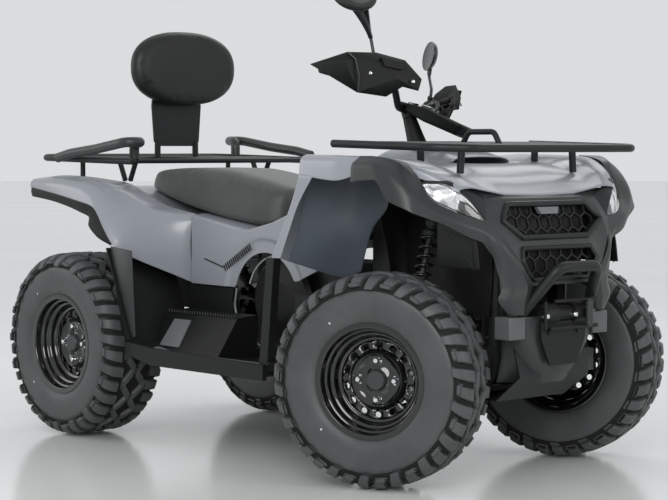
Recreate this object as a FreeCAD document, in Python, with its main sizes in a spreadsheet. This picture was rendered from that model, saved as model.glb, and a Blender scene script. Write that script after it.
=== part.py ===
import FreeCAD, Part
import math
import os

import Sketcher
from FreeCAD import Placement, Rotation, Vector

# Quad bike with a long wheelbase. X runs forward, Y to the left, Z up, in millimetres. The origin is on the floor
# under the middle of the overall length. The front wheels and the handlebar stand turned to the left.

# Driving sizes. Every one can be changed by itself.
SIZES = {
    # Whole vehicle: the two overhangs are measured from the axles to the rack's back and the bumper's front
    "wheelbase": 1460, "rear_overhang": 325, "front_overhang": 425, "body_width": 1000, "deck_height": 1000,
    "rest_steer": 23.5, "steer_lock": 32,
    # Tyres and rims
    "tyre_radius": 314, "front_tyre_width": 205, "rear_tyre_width": 230, "front_half_track": 432,
    "rear_half_track": 443, "lug_height": 13, "lug_count": 16, "bead_radius": 152.4, "rim_lip_radius": 170,
    "rim_wall": 4, "rim_inset": 12, "rim_flats": 16, "hub_radius": 28, "stub_radius": 22, "disc_radius": 92,
    "disc_thickness": 4,
    # Steering
    "kingpin_offset": 65, "kingpin_reach": 100, "kingpin_pin_radius": 8, "knuckle_width": 34,
    "steer_arm_length": 70, "tie_rod_radius": 8, "stem_radius": 14, "stem_top_height": 1077,
    "pitman_height": 392, "pitman_thickness": 8, "bar_radius": 11, "grip_radius": 17,
    "hub_depth": 12, "stub_length": 34, "disc_back": 8, "arm_boss_height": 30, "caliper_wall": 8,
    "caliper_height": 70, "pitman_half_width": 35, "bar_bend": 45, "clamp_height": 26, "grip_end": 12,
    "guard_wall": 5, "mirror_stem_radius": 5, "mirror_half_width": 78, "mirror_half_height": 48,
    "mirror_depth": 22, "mirror_turn": 35,
    "shock_inset": 87, "collar_length": 12, "collar_radius": 12, "stay_radius": 8, "cover_neck": 42,
    "sill_wall": 16, "post_depth": 28, "grille_rim": 9,
    "support_wall": 6, "round_flats": 12, "bar_flats": 8, "thin_flats": 6, "bend_chord": 32,
    "cover_flats": 24, "fairlead_slot_half": 45, "tail_lamp_depth": 30,
    # Frame and suspension
    "frame_tube_radius": 16, "frame_half_width": 140, "member_radius": 12, "frame_bend": 60,
    "arm_tube_radius": 11, "arm_boss_radius": 16, "arm_spread": 100, "upper_arm_rise": 52,
    "shock_radius": 28, "shock_rod_radius": 9, "shock_coils": 4,
    # Drive
    "engine_length": 460, "engine_width": 236, "engine_height": 330, "engine_floor": 285,
    "gear_case_radius": 60, "gear_case_width": 150, "nose_radius": 40, "nose_length": 110,
    "prop_shaft_radius": 16, "half_shaft_radius": 14, "boot_radius": 36,
    "cover_radius": 145, "cover_depth": 72, "cover_crown": 14,
    # Panels and racks
    "panel_wall": 4, "shroud_wall": 6, "fascia_wall": 12, "floor_wall": 6, "side_panel_wall": 5,
    "rack_tube_radius": 12, "rack_bar_radius": 9, "rack_bend": 70, "grab_tube_radius": 17, "grab_bend": 45,
    "bumper_tube_radius": 17, "bumper_bend": 45, "post_radius": 11,
    "seat_clearance": 0.3, "pin_clearance": 0.05, "running_gap": 5, "overrun": 2,
    "hitch_bore_radius": 9.5, "hitch_plate": 10, "hitch_width": 60, "hitch_length": 92,
    "fairlead_bolt_spacing": 124, "fairlead_bolt_radius": 5.5, "winch_plate_wall": 6,
    "skid_wall": 4, "grille_wall": 8, "grille_cell": 54, "grille_web": 6,
    "backrest_half_width": 234, "backrest_half_height": 137, "backrest_depth": 80, "backrest_round": 34,
    "muffler_radius": 50, "muffler_length": 210,
}

doc = FreeCAD.newDocument("QuadBike")
sheet = doc.addObject("Spreadsheet::Sheet", "Sizes")
for row, (alias, value) in enumerate(SIZES.items(), start=1):
    sheet.set(f"A{row}", alias)
    sheet.set(f"B{row}", str(value))
    sheet.setAlias(f"B{row}", alias)
doc.recompute()

NODES = []


def size(alias):
    """A driving size, read from the sheet."""
    return float(getattr(sheet, alias))


OVERALL = size("wheelbase") + size("rear_overhang") + size("front_overhang")
REAR_AXLE = size("rear_overhang") - OVERALL / 2
FRONT_AXLE = REAR_AXLE + size("wheelbase")
AXLE_HEIGHT = size("tyre_radius")
GAP = size("seat_clearance")
OVERRUN = size("overrun")
KINGPIN_Y = size("front_half_track") - size("kingpin_offset")
UP = Vector(0, 0, 1)
FORWARD = Vector(1, 0, 0)
LEFT = Vector(0, 1, 0)

# Shares of a part's own size
ROD_EYE_SHARE, PITMAN_DEPTH_SHARE, SHOE_SHARE, BUSH_SHARE = 1.5, 1.5, 0.55, 1.6
SHOCK_EYE_SHARE, BRACKET_RISE_SHARE, BOOT_RUN_SHARE, BOOT_NECK_SHARE = 0.85, 1.25, 1.6, 1.2
CELL_ROW_SHARE, GRILLE_REACH_SHARE = 0.75, 8


# Places on the body are shares: along the wheelbase from the rear axle, of the body's width, of the deck's height.
def along(share):
    return REAR_AXLE + share * size("wheelbase")


def across(share):
    return share * size("body_width")


def level(share):
    return share * size("deck_height")


def spot(shares):
    """The point that three shares name."""
    return Vector(along(shares[0]), across(shares[1]), level(shares[2]))


def keep(label, shape, placement=None):
    """Puts a finished shape in the document as one sub-part, then sets it in its place."""
    node = doc.addObject("Part::Feature", label)
    node.Label = label
    node.Shape = shape
    if placement:
        node.Placement = placement
    NODES.append(node)
    return node


def mirrored(shape):
    return shape.mirror(Vector(), LEFT)


def pair(shape):
    """A right-hand solid and its left-hand mirror image."""
    return Part.Compound([shape, mirrored(shape)])


def rod(start, end, radius):
    """A round bar between two points."""
    return Part.makeCylinder(radius, (end - start).Length, start, end - start)


HALF_RUN_SHARE, FLATNESS = 0.48, 1e-6


def ring_round(centre, axis, side, radius, flats):
    """The corners of a regular outline round an axis; side is where its first corner lies."""
    across_side = axis.cross(side)
    step = 2 * math.pi / flats
    return [centre + side * (radius * math.cos(step * k)) + across_side * (radius * math.sin(step * k))
            for k in range(flats)]


def square_to(axis):
    """A direction at right angles to an axis."""
    side = axis.cross(UP if abs(axis.z) < abs(axis.x) + abs(axis.y) else LEFT)
    return side.normalize()


def bar(start, end, radius, flats=None):
    """A round bar with flats, for what no other piece turns on."""
    axis = (end - start).normalize()
    flats = flats or int(size("bar_flats"))
    return woven([ring_round(p, axis, square_to(axis), radius, flats) for p in (start, end)])


def tube(points, radius, bend):
    """A round tube bent along a path: straight runs, and arcs in short chords, with flats along its whole length."""
    places, axes = [points[0]], [(points[1] - points[0]).normalize()]
    for before, corner, after in zip(points, points[1:], points[2:]):
        arriving, leaving = (corner - before), (after - corner)
        turn = arriving.getAngle(leaving)
        cut = min(bend * math.tan(turn / 2), min(arriving.Length, leaving.Length) * HALF_RUN_SHARE)
        arriving.normalize()
        leaving.normalize()
        arc_radius = cut / math.tan(turn / 2)
        first = corner - arriving * cut
        inward = (leaving - arriving * arriving.dot(leaving)).normalize()
        centre = first + inward * arc_radius
        steps = max(1, math.ceil(turn / math.radians(size("bend_chord"))))
        for k in range(steps + 1):
            angle = turn * k / steps
            places.append(centre - inward * (arc_radius * math.cos(angle)) + arriving * (arc_radius * math.sin(angle)))
            axes.append(arriving * math.cos(angle) + inward * math.sin(angle))
    places.append(points[-1])
    axes.append((points[-1] - points[-2]).normalize())
    side, rings = square_to(axes[0]), []
    for place, axis in zip(places, axes):
        side = (side - axis * side.dot(axis)).normalize()
        rings.append(ring_round(place, axis, side, radius, int(size("bar_flats"))))
    return woven(rings)


def facets(polygons):
    """A closed solid from its flat faces."""
    faces = [Part.Face(Part.makePolygon(list(corners) + [corners[0]])) for corners in polygons]
    shell = Part.Compound(faces)
    shell.sewShape()
    solid = Part.Solid(shell.Shells[0] if shell.Shells else shell)
    return solid if solid.Volume > 0 else solid.reversed()


def slab(front, back):
    """A solid between two outlines with the same number of corners, faced with triangles."""
    count = len(front)
    polygons = []
    for i in range(1, count - 1):
        polygons.append((front[0], front[i], front[i + 1]))
        polygons.append((back[0], back[i + 1], back[i]))
    for i in range(count):
        j = (i + 1) % count
        polygons.append((front[i], back[i], front[j]))
        polygons.append((front[j], back[i], back[j]))
    return facets(polygons)


def offset_line(points, wall, normal):
    """An open line moved sideways by a wall, within the plane that the normal names, with mitred corners."""
    moved = []
    for i, point in enumerate(points):
        before = (point - points[i - 1]).normalize() if i else None
        after = (points[i + 1] - point).normalize() if i + 1 < len(points) else None
        before, after = before or after, after or before
        side_before, side_after = normal.cross(before), normal.cross(after)
        mitre = (side_before + side_after).normalize()
        moved.append(point + mitre * (wall / mitre.dot(side_after)))
    return moved


def woven(rings):
    """A closed solid through rings of the same number of corners, its two ends flat; a twisted side takes two facets."""
    polygons, count = [], len(rings[0])
    for ring, after in zip(rings, rings[1:]):
        for i in range(count):
            j = (i + 1) % count
            near, far = (ring[i], after[i], after[j]), (ring[i], after[j], ring[j])
            flat = is_flat(near + (ring[j],))
            polygons += [near + (ring[j],)] if flat else [near, far]
    return facets(polygons + [rings[0][::-1], rings[-1]])


def is_flat(corners):
    """Whether corners lie in the plane of the first three."""
    first = corners[0]
    square_off = (corners[1] - first).cross(corners[2] - first)
    return all(abs(square_off.dot(p - first)) < FLATNESS * max(square_off.Length, FLATNESS) for p in corners[3:])


def folded(a, b, c, d):
    """Four corners as one flat face, or folded along the first diagonal."""
    return [(a, b, c, d)] if is_flat((a, b, c, d)) else [(a, b, c), (a, c, d)]


def turned_over(polygons):
    return [corners[::-1] for corners in polygons]


def skin(sections, wall, normal):
    """A moulded panel: open lines given a wall's thickness, joined by facets that fold alike on both faces."""
    lines = [(line, offset_line(line, wall, normal)) for line in sections]
    polygons = []
    for (near, near_in), (far, far_in) in zip(lines, lines[1:]):
        for i in range(len(near) - 1):
            polygons += folded(near[i], near[i + 1], far[i + 1], far[i])
            polygons += turned_over(folded(near_in[i], near_in[i + 1], far_in[i + 1], far_in[i]))
        polygons += folded(near[0], far[0], far_in[0], near_in[0])
        polygons += folded(far[-1], near[-1], near_in[-1], far_in[-1])
    return facets(polygons + turned_over(end_faces(*lines[0])) + end_faces(*lines[-1]))


def end_faces(line, line_in):
    """The end of a skin: one face, or a facet for each stretch where it isn't flat."""
    ring = list(line) + line_in[::-1]
    if is_flat(ring):
        return [ring]
    faces = []
    for i in range(len(line) - 1):
        faces += folded(line[i], line[i + 1], line_in[i + 1], line_in[i])
    return faces


def whole(half):
    """A line from the middle out to the right, continued as its mirror image to the left."""
    other = [Vector(p.x, -p.y, p.z) for p in half]
    return half[::-1] + (other[1:] if half[0].y == 0 else other)


def prism(corners, vector):
    """A flat outline pushed along a vector."""
    return Part.Face(Part.makePolygon(list(corners) + [corners[0]])).extrude(vector)


def block(low, high):
    """A rectangular block between two corners."""
    return Part.makeBox(high.x - low.x, high.y - low.y, high.z - low.z, low)


# Bodies made of sketches and features
def add_body(label):
    body = doc.addObject("PartDesign::Body", label)
    body.Label = label
    return body


def origin_part(body, role):
    return next(f for f in body.Origin.OriginFeatures if f.Role == role)


def outline(body, name, plane, corners, lift=None):
    """A closed sketch on one of the body's planes; each corner is a pair of expressions over the sheet."""
    sketch = body.newObject("Sketcher::SketchObject", name)
    sketch.AttachmentSupport = [(origin_part(body, plane), "")]
    sketch.MapMode = "FlatFace"
    if lift:
        sketch.setExpression("AttachmentOffset.Base.z", lift)
    seeds = [[float(FreeCAD.Units.Quantity(sketch.evalExpression(e)).Value) for e in pair_] for pair_ in corners]
    count = len(corners)
    for i, (u, v) in enumerate(seeds):
        end = seeds[(i + 1) % count]
        sketch.addGeometry(Part.LineSegment(Vector(u, v, 0), Vector(end[0], end[1], 0)), False)
    for i in range(count):
        sketch.addConstraint(Sketcher.Constraint("Coincident", i, 2, (i + 1) % count, 1))
    for i, (u, v) in enumerate(corners):
        for kind, expression, seed in (("DistanceX", u, seeds[i][0]), ("DistanceY", v, seeds[i][1])):
            index = sketch.addConstraint(Sketcher.Constraint(kind, -1, 1, i, 1, seed))
            sketch.setExpression(f"Constraints[{index}]", expression)
    return sketch


def pad(body, sketch, length, both_ways=False):
    feature = body.newObject("PartDesign::Pad", sketch.Name + "_pad")
    feature.Profile = sketch
    feature.setExpression("Length", length)
    feature.Midplane = both_ways
    return feature


def pocket(body, sketch, length, both_ways=False, reversed_way=False):
    feature = body.newObject("PartDesign::Pocket", sketch.Name + "_cut")
    feature.Profile = sketch
    feature.setExpression("Length", length)
    feature.Midplane = both_ways
    feature.Reversed = reversed_way
    return feature


def lathe(line, flats, placement):
    """A turned piece with a chosen number of flats: radius and place along the axis, from end to end."""
    step = 2 * math.pi / flats
    rings = [[Vector(r * math.cos(step * k), r * math.sin(step * k), w) for k in range(flats)] for r, w in line]
    shape = woven(rings)
    shape.Placement = placement
    return shape


# Tyres and rims: flat facets round the wheel, as coarse as the section's own corners
def wheel_point(place, angle, flats):
    """A point of a wheel's section, turned round its axle; its radius is measured to the middle of a flat."""
    reach = place[0] / math.cos(math.pi / flats)
    return Vector(reach * math.sin(angle), place[1], reach * math.cos(angle))


def wheel_band(section, here, there, flats):
    """The flat faces between two turned copies of a closed section."""
    bands = []
    for i, place in enumerate(section):
        after = section[(i + 1) % len(section)]
        bands.append([wheel_point(place, here, flats), wheel_point(after, here, flats),
                      wheel_point(after, there, flats), wheel_point(place, there, flats)])
    return bands


def other_side(places):
    return [(radius, -across_wheel) for radius, across_wheel in places[::-1]]


def tyre_shape(width):
    """Beads, sidewalls and crown, with a lug on the left and on the right by turns, wrapped over the shoulder."""
    half, lug_height, flats = width / 2, size("lug_height"), int(size("lug_count")) * 2
    tread, crown, lip = size("tyre_radius"), size("tyre_radius") - size("lug_height"), size("rim_lip_radius")
    bead_half = half - size("rim_inset") - size("rim_wall") - GAP
    side = [(size("bead_radius") + GAP, bead_half), (lip + size("rim_wall"), bead_half),
            (lip + lug_height * 2, half), (crown - lug_height * 2, half * SHOULDER_SHARE)]
    shoulder, rib = (crown, half * CROWN_SHARE), (crown, half * RIB_SHARE)
    lug = [(crown - lug_height, half), (tread, half * LUG_OUTER_SHARE), (tread, half * LUG_INNER_SHARE)]
    left_lug = side + lug + [rib] + other_side(side + [shoulder, rib])
    lug_face = [side[-1]] + lug + [rib, shoulder]
    step, polygons = 2 * math.pi / flats, []
    for k in range(flats):
        here, there = (k - 0.5) * step, (k + 0.5) * step
        section = left_lug if k % 2 else other_side(left_lug)
        polygons += wheel_band(section, here, there, flats)
        for face in (lug_face, other_side(lug_face)):
            polygons.append([wheel_point(place, there, flats) for place in face])
    return facets(polygons)


def rim_shape(width, outward):
    """A pressed steel rim with its hub: lips, bead seats, well and a stepped disc set towards the outer side."""
    half, wall = width / 2 - size("rim_inset"), size("rim_wall")
    lip, seat, hub = size("rim_lip_radius"), size("bead_radius"), size("hub_radius")
    well, inner_well = seat * WELL_SHARE, seat * WELL_SHARE - wall
    dish, step_in, back = half * DISH_SHARE, half * DISH_STEP_SHARE, -size("hub_depth")
    line = [(hub, back), (hub, dish - wall), (hub * 2, dish - wall), (inner_well, step_in - wall),
            (inner_well, half * -WELL_END_SHARE), (lip, -half), (seat, wall - half), (well, half * -WELL_END_SHARE),
            (well, half * WELL_END_SHARE), (seat, half - wall), (lip, half), (inner_well, step_in + wall),
            (hub * 2 + wall, dish), (hub, dish), (hub, dish + wall)]
    rim = lathe(line, int(size("rim_flats")), Placement(Vector(), Rotation(UP, LEFT * outward)))
    stub = rod(LEFT * outward * (back + OVERRUN), LEFT * outward * (back - size("stub_length")), size("stub_radius"))
    return rim.fuse(stub)


def disc_shape(outward):
    """A brake disc round the hub, clear of the rim's disc."""
    near = -size("disc_back")
    far, hole = near + size("disc_thickness"), size("hub_radius") + GAP
    line = [(hole, near), (size("disc_radius"), near), (size("disc_radius"), far), (hole, far)]
    flats, step, polygons = int(size("rim_flats")), 2 * math.pi / int(size("rim_flats")), []
    for k in range(flats):
        polygons += wheel_band(line, (k - 0.5) * step, (k + 0.5) * step, flats)
    shape = facets(polygons)
    return shape if outward > 0 else mirrored(shape)


# Shares of the half width of a tyre or rim, and of the bead's radius
SHOULDER_SHARE, CROWN_SHARE, RIB_SHARE = 0.98, 0.74, 0.05
LUG_OUTER_SHARE, LUG_INNER_SHARE = 0.84, 0.12
WELL_SHARE, WELL_END_SHARE, DISH_SHARE, DISH_STEP_SHARE = 0.88, 0.5, 0.35, 0.55


def front_wheel_place(side):
    """Where a front wheel stands: side is 1 for the left and -1 for the right; it turns about its kingpin."""
    kingpin = Vector(FRONT_AXLE, KINGPIN_Y * side, AXLE_HEIGHT)
    turn = Rotation(UP, size("rest_steer"))
    return Placement(kingpin + turn.multVec(LEFT * size("kingpin_offset") * side), turn)


def rear_wheel_place(side):
    return Placement(Vector(REAR_AXLE, size("rear_half_track") * side, AXLE_HEIGHT), Rotation())


def add_wheels():
    """Four wheels; the right one is the left one turned half round, so both sides stand alike."""
    for name, side in (("right", -1), ("left", 1)):
        for end, width, place in (("front", size("front_tyre_width"), front_wheel_place(side)),
                                  ("rear", size("rear_tyre_width"), rear_wheel_place(side))):
            keep(f"tyre_{end}_{name}", tyre_shape(width), place)
            keep(f"rim_{end}_{name}", rim_shape(width, side), place)
            if end == "front":
                keep(f"brake_disc_{name}", disc_shape(side), place)


def upright(half, reach):
    """A post between two arm bosses, with a collar at each end that bears on the boss."""
    seat = reach - size("arm_boss_height") / 2 - GAP
    post_half = seat - size("collar_length")
    post = block(Vector(-half, -half, -post_half), Vector(half, half, post_half))
    return post.fuse(bar(Vector(0, 0, -seat), Vector(0, 0, seat), size("collar_radius")))


# Steering knuckles: they turn about the kingpins and carry the stub axles, calipers and steering arms
def add_knuckles():
    for name, side in (("right", -1), ("left", 1)):
        half, reach, pin = size("knuckle_width") / 2, size("kingpin_reach"), size("kingpin_pin_radius")
        post = upright(half, reach)
        pins = rod(Vector(0, 0, -reach), Vector(0, 0, reach), pin)
        bearing_length = size("kingpin_offset") - size("hub_depth") - GAP
        boss = bar(Vector(), LEFT * side * bearing_length, size("stub_radius") * 2 - size("rim_wall"))
        bore = rod(LEFT * side * (bearing_length - size("stub_length") - OVERRUN), LEFT * side * (bearing_length + OVERRUN),
                   size("stub_radius") + size("pin_clearance"))
        rise = size("pitman_height") - AXLE_HEIGHT - size("tie_rod_radius") - GAP
        arm_half = size("tie_rod_radius") * ROD_EYE_SHARE
        arm = block(Vector(-size("steer_arm_length"), -arm_half, rise - arm_half * 2), Vector(0, arm_half, rise))
        ball = bar(Vector(-size("steer_arm_length"), 0, rise - arm_half * 2), Vector(-size("steer_arm_length"), 0, rise), arm_half)
        peg = rod(Vector(-size("steer_arm_length"), 0, rise - arm_half), Vector(-size("steer_arm_length"), 0, rise + size("tie_rod_radius") * 2),
                  size("tie_rod_radius") / 2)
        # the caliper straddles the disc's front edge
        disc_y = (size("kingpin_offset") - size("disc_back") + size("disc_thickness") / 2) * side
        reach_x, room = size("disc_radius"), size("running_gap") + size("disc_thickness") / 2
        shoe_low, shoe_high = size("disc_radius") * SHOE_SHARE, size("disc_radius") + size("caliper_wall") + size("running_gap")
        outer = block(Vector(shoe_low, disc_y - room - size("caliper_wall"), -size("caliper_height") / 2),
                      Vector(shoe_high, disc_y + room + size("caliper_wall"), size("caliper_height") / 2))
        slot = block(Vector(shoe_low - OVERRUN, disc_y - room, -size("caliper_height")),
                     Vector(reach_x + size("running_gap"), disc_y + room, size("caliper_height")))
        bridge = block(Vector(0, min(disc_y - room * side - size("caliper_wall") * side, disc_y - room * side), -half),
                       Vector(shoe_low + OVERRUN, max(disc_y - room * side - size("caliper_wall") * side, disc_y - room * side), half))
        shape = post.multiFuse([pins, boss, arm, ball, peg, outer.cut(slot), bridge]).cut(bore).removeSplitter()
        keep(f"knuckle_{name}", shape, Placement(Vector(FRONT_AXLE, KINGPIN_Y * side, AXLE_HEIGHT),
                                                 Rotation(UP, size("rest_steer"))))


def add_tie_rods():
    """Each rod's outer eye sits on its steering arm's peg; the inner end stops short of the pitman plate."""
    turn = Rotation(UP, size("rest_steer"))
    for name, side in (("right", -1), ("left", 1)):
        eye = Vector(FRONT_AXLE, KINGPIN_Y * side, size("pitman_height")) + turn.multVec(FORWARD * -size("steer_arm_length"))
        inner_y = size("pitman_half_width") + size("running_gap") + size("steer_arm_length") * math.sin(math.radians(size("steer_lock")))
        inner = Vector(eye.x, inner_y * side + turn.multVec(FORWARD * -size("steer_arm_length")).y, eye.z)
        radius = size("tie_rod_radius")
        ring = bar(eye - UP * radius, eye + UP * radius, radius * ROD_EYE_SHARE)
        bore = rod(eye - UP * radius * 2, eye + UP * radius * 2, radius / 2 + size("pin_clearance"))
        keep(f"tie_rod_{name}", ring.fuse(bar(eye, inner, radius)).cut(bore))


# Steering column and handlebar, set up straight and then turned about the column to the rest angle
def column_point(height):
    """A point of the column's axis at a height."""
    top_x, top, low = along(STEM_TOP_SHARE), size("stem_top_height"), size("pitman_height")
    return Vector(FRONT_AXLE + (top_x - FRONT_AXLE) * (height - low) / (top - low), 0, height)


def column_axis():
    return (column_point(size("stem_top_height")) - column_point(size("pitman_height"))).normalize()


def steered(shape):
    shape = shape.copy()
    shape.rotate(column_point(size("stem_top_height")), column_axis(), size("rest_steer"))
    return shape


STEM_TOP_SHARE = 0.795
BAR_SHARES = ((0.788, 0, 1.1), (0.788, -0.07, 1.1), (0.8, -0.15, 1.15), (0.705, -0.37, 1.163))
GRIP_INNER_SHARE = -0.24


def add_steering():
    top, foot = column_point(size("stem_top_height")), column_point(size("pitman_height"))
    axis = column_axis()
    stem = rod(foot, top, size("stem_radius"))
    plate = prism_plate(foot)
    keep("steering_stem", steered(stem.fuse(plate).removeSplitter()))
    right = [spot(share) for share in BAR_SHARES]
    grip_bar = tube(bar_path(right), size("bar_radius"), size("bar_bend"))
    clamp = bar(top + axis * GAP, top + axis * (GAP + size("clamp_height")), size("stem_radius") * CLAMP_SHARE)
    keep("handlebar", steered(grip_bar.fuse(clamp)))
    add_grips(right)
    add_hand_guards(right)
    add_mirrors(right)
    add_pod(top, right)


def prism_plate(foot):
    """The pitman plate at the column's foot, level with the tie rods."""
    half, thick, depth = size("pitman_half_width"), size("pitman_thickness"), size("stem_radius") * PITMAN_DEPTH_SHARE
    return block(foot - Vector(depth, half, thick / 2), foot + Vector(depth, half, thick / 2))


def bar_point(right, y):
    """The point of the handlebar's outer run at a distance from the middle."""
    start, end = right[-2], right[-1]
    return start + (end - start) * ((y - start.y) / (end.y - start.y))


def sleeve(start, end, outer, inner):
    """A tube with flats that slips over a bar, its bore as many-sided as the bar."""
    flats = int(size("bar_flats"))
    reach = (end - start).normalize()
    bore = bar(start - reach * OVERRUN, end + reach * OVERRUN, inner / math.cos(math.pi / flats))
    return bar(start, end, outer).cut(bore)


def bar_path(right):
    """The handlebar's whole path, from its left end to its right."""
    return [Vector(p.x, -p.y, p.z) for p in right[:0:-1]] + right[1:]


def bar_room(right):
    """The room that the handlebar takes, with the clearance of what is clamped to it."""
    return tube(bar_path(right), size("bar_radius") + GAP, size("bar_bend"))


def add_grips(right):
    inner, outer = bar_point(right, across(GRIP_INNER_SHARE)), right[-1]
    reach = (outer - inner).normalize()
    hole = size("bar_radius") + GAP
    cap = bar(outer + reach * GAP, outer + reach * size("grip_end"), size("grip_radius"))
    grip = sleeve(inner, outer + reach * GAP, size("grip_radius"), hole)
    collar = sleeve(inner - reach * size("grip_end"), inner, size("grip_radius") * COLLAR_SHARE, hole)
    keep("grips", steered(pair(grip.multiFuse([cap, collar]))))


COLLAR_SHARE, CLAMP_SHARE = 1.25, 1.5
GUARD_SHARES = ((0.694, -0.427, 1.165), (0.747, -0.343, 1.221), (0.79, -0.273, 1.234), (0.836, -0.201, 1.225), (0.864, -0.156, 1.175),
                (0.861, -0.161, 1.137), (0.836, -0.201, 1.141), (0.812, -0.238, 1.103), (0.768, -0.309, 1.102))
GUARD_STAY_SHARE = -0.19


def add_hand_guards(right):
    """A shield in front of each grip, held off the handlebar by a stay."""
    front = [spot(share) for share in GUARD_SHARES]
    inward = (front[0] - front[4]).cross(UP).normalize() * size("guard_wall")
    if inward.x > 0:
        inward = inward * -1
    shield = slab(front, [p + inward for p in front])
    hold = bar_point(right, across(GUARD_STAY_SHARE))
    back, wide = front[4] + inward, front[0] - front[4]
    reach = back + wide * ((hold.y - back.y) / wide.y)
    stay = bar(hold, Vector(reach.x, hold.y, hold.z), size("stay_radius"))
    right_guard = shield.fuse(stay)
    keep("hand_guards", steered(pair(right_guard).cut(bar_room(right))))


RIGHT_MIRROR_STEM_SHARES = ((0.774, -0.211, 1.154), (0.773, -0.225, 1.22), (0.76, -0.24, 1.3), (0.782, -0.349, 1.368))
RIGHT_MIRROR_SHARE = (0.763, -0.382, 1.386)
LEFT_MIRROR_STEM_SHARES = ((0.774, 0.211, 1.154), (0.76, 0.255, 1.22), (0.736, 0.305, 1.27), (0.733, 0.305, 1.3))
LEFT_MIRROR_SHARE = (0.732, 0.298, 1.338)


def add_mirrors(right):
    """Oval mirrors on thin stems that stand on the handlebar, each set for its own side."""
    mirrors, room = [], bar_room(right)
    for stem_shares, share, turn in ((RIGHT_MIRROR_STEM_SHARES, RIGHT_MIRROR_SHARE, size("mirror_turn")),
                                     (LEFT_MIRROR_STEM_SHARES, LEFT_MIRROR_SHARE, 0)):
        stem = tube([spot(s) for s in stem_shares], size("mirror_stem_radius"), size("bar_bend")).cut(room)
        centre, flats = spot(share), int(size("round_flats"))
        rings = []
        for depth, scale in ((0, 1), (size("mirror_depth"), MIRROR_BACK_SHARE)):
            ring = [Vector(depth, size("mirror_half_width") * scale * math.cos(2 * math.pi * k / flats),
                           size("mirror_half_height") * scale * math.sin(2 * math.pi * k / flats)) for k in range(flats)]
            rings.append([centre + Rotation(UP, -turn).multVec(p) for p in ring])
        mirrors.append(stem.fuse(woven(rings)))
    keep("mirrors", steered(Part.Compound(mirrors)))


MIRROR_BACK_SHARE = 0.7
POD_TOP_SHARES = ((0.777, -0.06, 1.126), (0.856, -0.09, 1.104), (0.938, -0.06, 1.052), (0.938, 0.06, 1.052), (0.856, 0.09, 1.104), (0.777, 0.06, 1.126))
POD_LOW_SHARES = ((0.791, -0.04, 1.098), (0.842, -0.06, 1.056), (0.918, -0.04, 1.022), (0.918, 0.04, 1.022), (0.842, 0.06, 1.056), (0.791, 0.04, 1.098))


def clamp_room(top):
    reach = column_axis() * (GAP * 2 + size("clamp_height"))
    return bar(top, top + reach, size("stem_radius") * CLAMP_SHARE + GAP)


def add_pod(top, right):
    pod = slab([spot(s) for s in POD_TOP_SHARES], [spot(s) for s in POD_LOW_SHARES])
    keep("instrument_pod", steered(pod.cut(bar_room(right)).cut(clamp_room(top))))


# Frame: a cradle of two lower and two upper rails, tied by members that stop just short of the rails
LOWER_RAIL_SHARES = ((-0.106, -0.14, 0.739), (-0.082, -0.14, 0.262), (1.103, -0.14, 0.262), (1.142, -0.14, 0.33), (1.151, -0.14, 0.69))
UPPER_RAIL_SHARES = ((-0.175, -0.14, 0.792), (0.062, -0.14, 0.745), (0.212, -0.14, 0.69), (0.637, -0.14, 0.69), (0.808, -0.14, 0.775), (0.993, -0.14, 0.785), (1.139, -0.14, 0.7))
LOW_MEMBER_SHARES = (0.062, 0.274, 0.74, 1.089)
HIGH_MEMBER_SHARES = ((-0.13, 0.783), (0.212, 0.69), (0.993, 0.785))
FRONT_MEMBER_SHARE = (1.145, 0.44)
FRONT_MOUNT_ROW, REAR_MOUNT_ROW = 2, 2
OUTRIGGER_SHARES, OUTRIGGER_END_SHARE, SLANT_SHARE = (0.377, 0.678), -0.49, 1.12


def rail(shares):
    return [Vector(along(x), -size("frame_half_width"), level(z)) for x, _, z in shares]


def rail_height(points, x):
    """The height of a rail's middle line at a place along it."""
    for start, end in zip(points, points[1:]):
        if min(start.x, end.x) <= x <= max(start.x, end.x) and start.x != end.x:
            return start.z + (end.z - start.z) * (x - start.x) / (end.x - start.x)
    return points[-1].z


def post_places():
    """Where the uprights stand: beside the arms' inner pivots, front and rear."""
    spread = size("arm_spread")
    return (REAR_AXLE - spread + size("member_radius"), REAR_AXLE + spread, FRONT_AXLE - spread, FRONT_AXLE + spread)


def outrigger_height():
    return rail(LOWER_RAIL_SHARES)[1].z + size("frame_tube_radius") + GAP + member_half_height()


def member_half_height():
    """Half the height of a lying member: half across its flats."""
    return size("member_radius") * math.cos(math.pi / int(size("thin_flats")))


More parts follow.
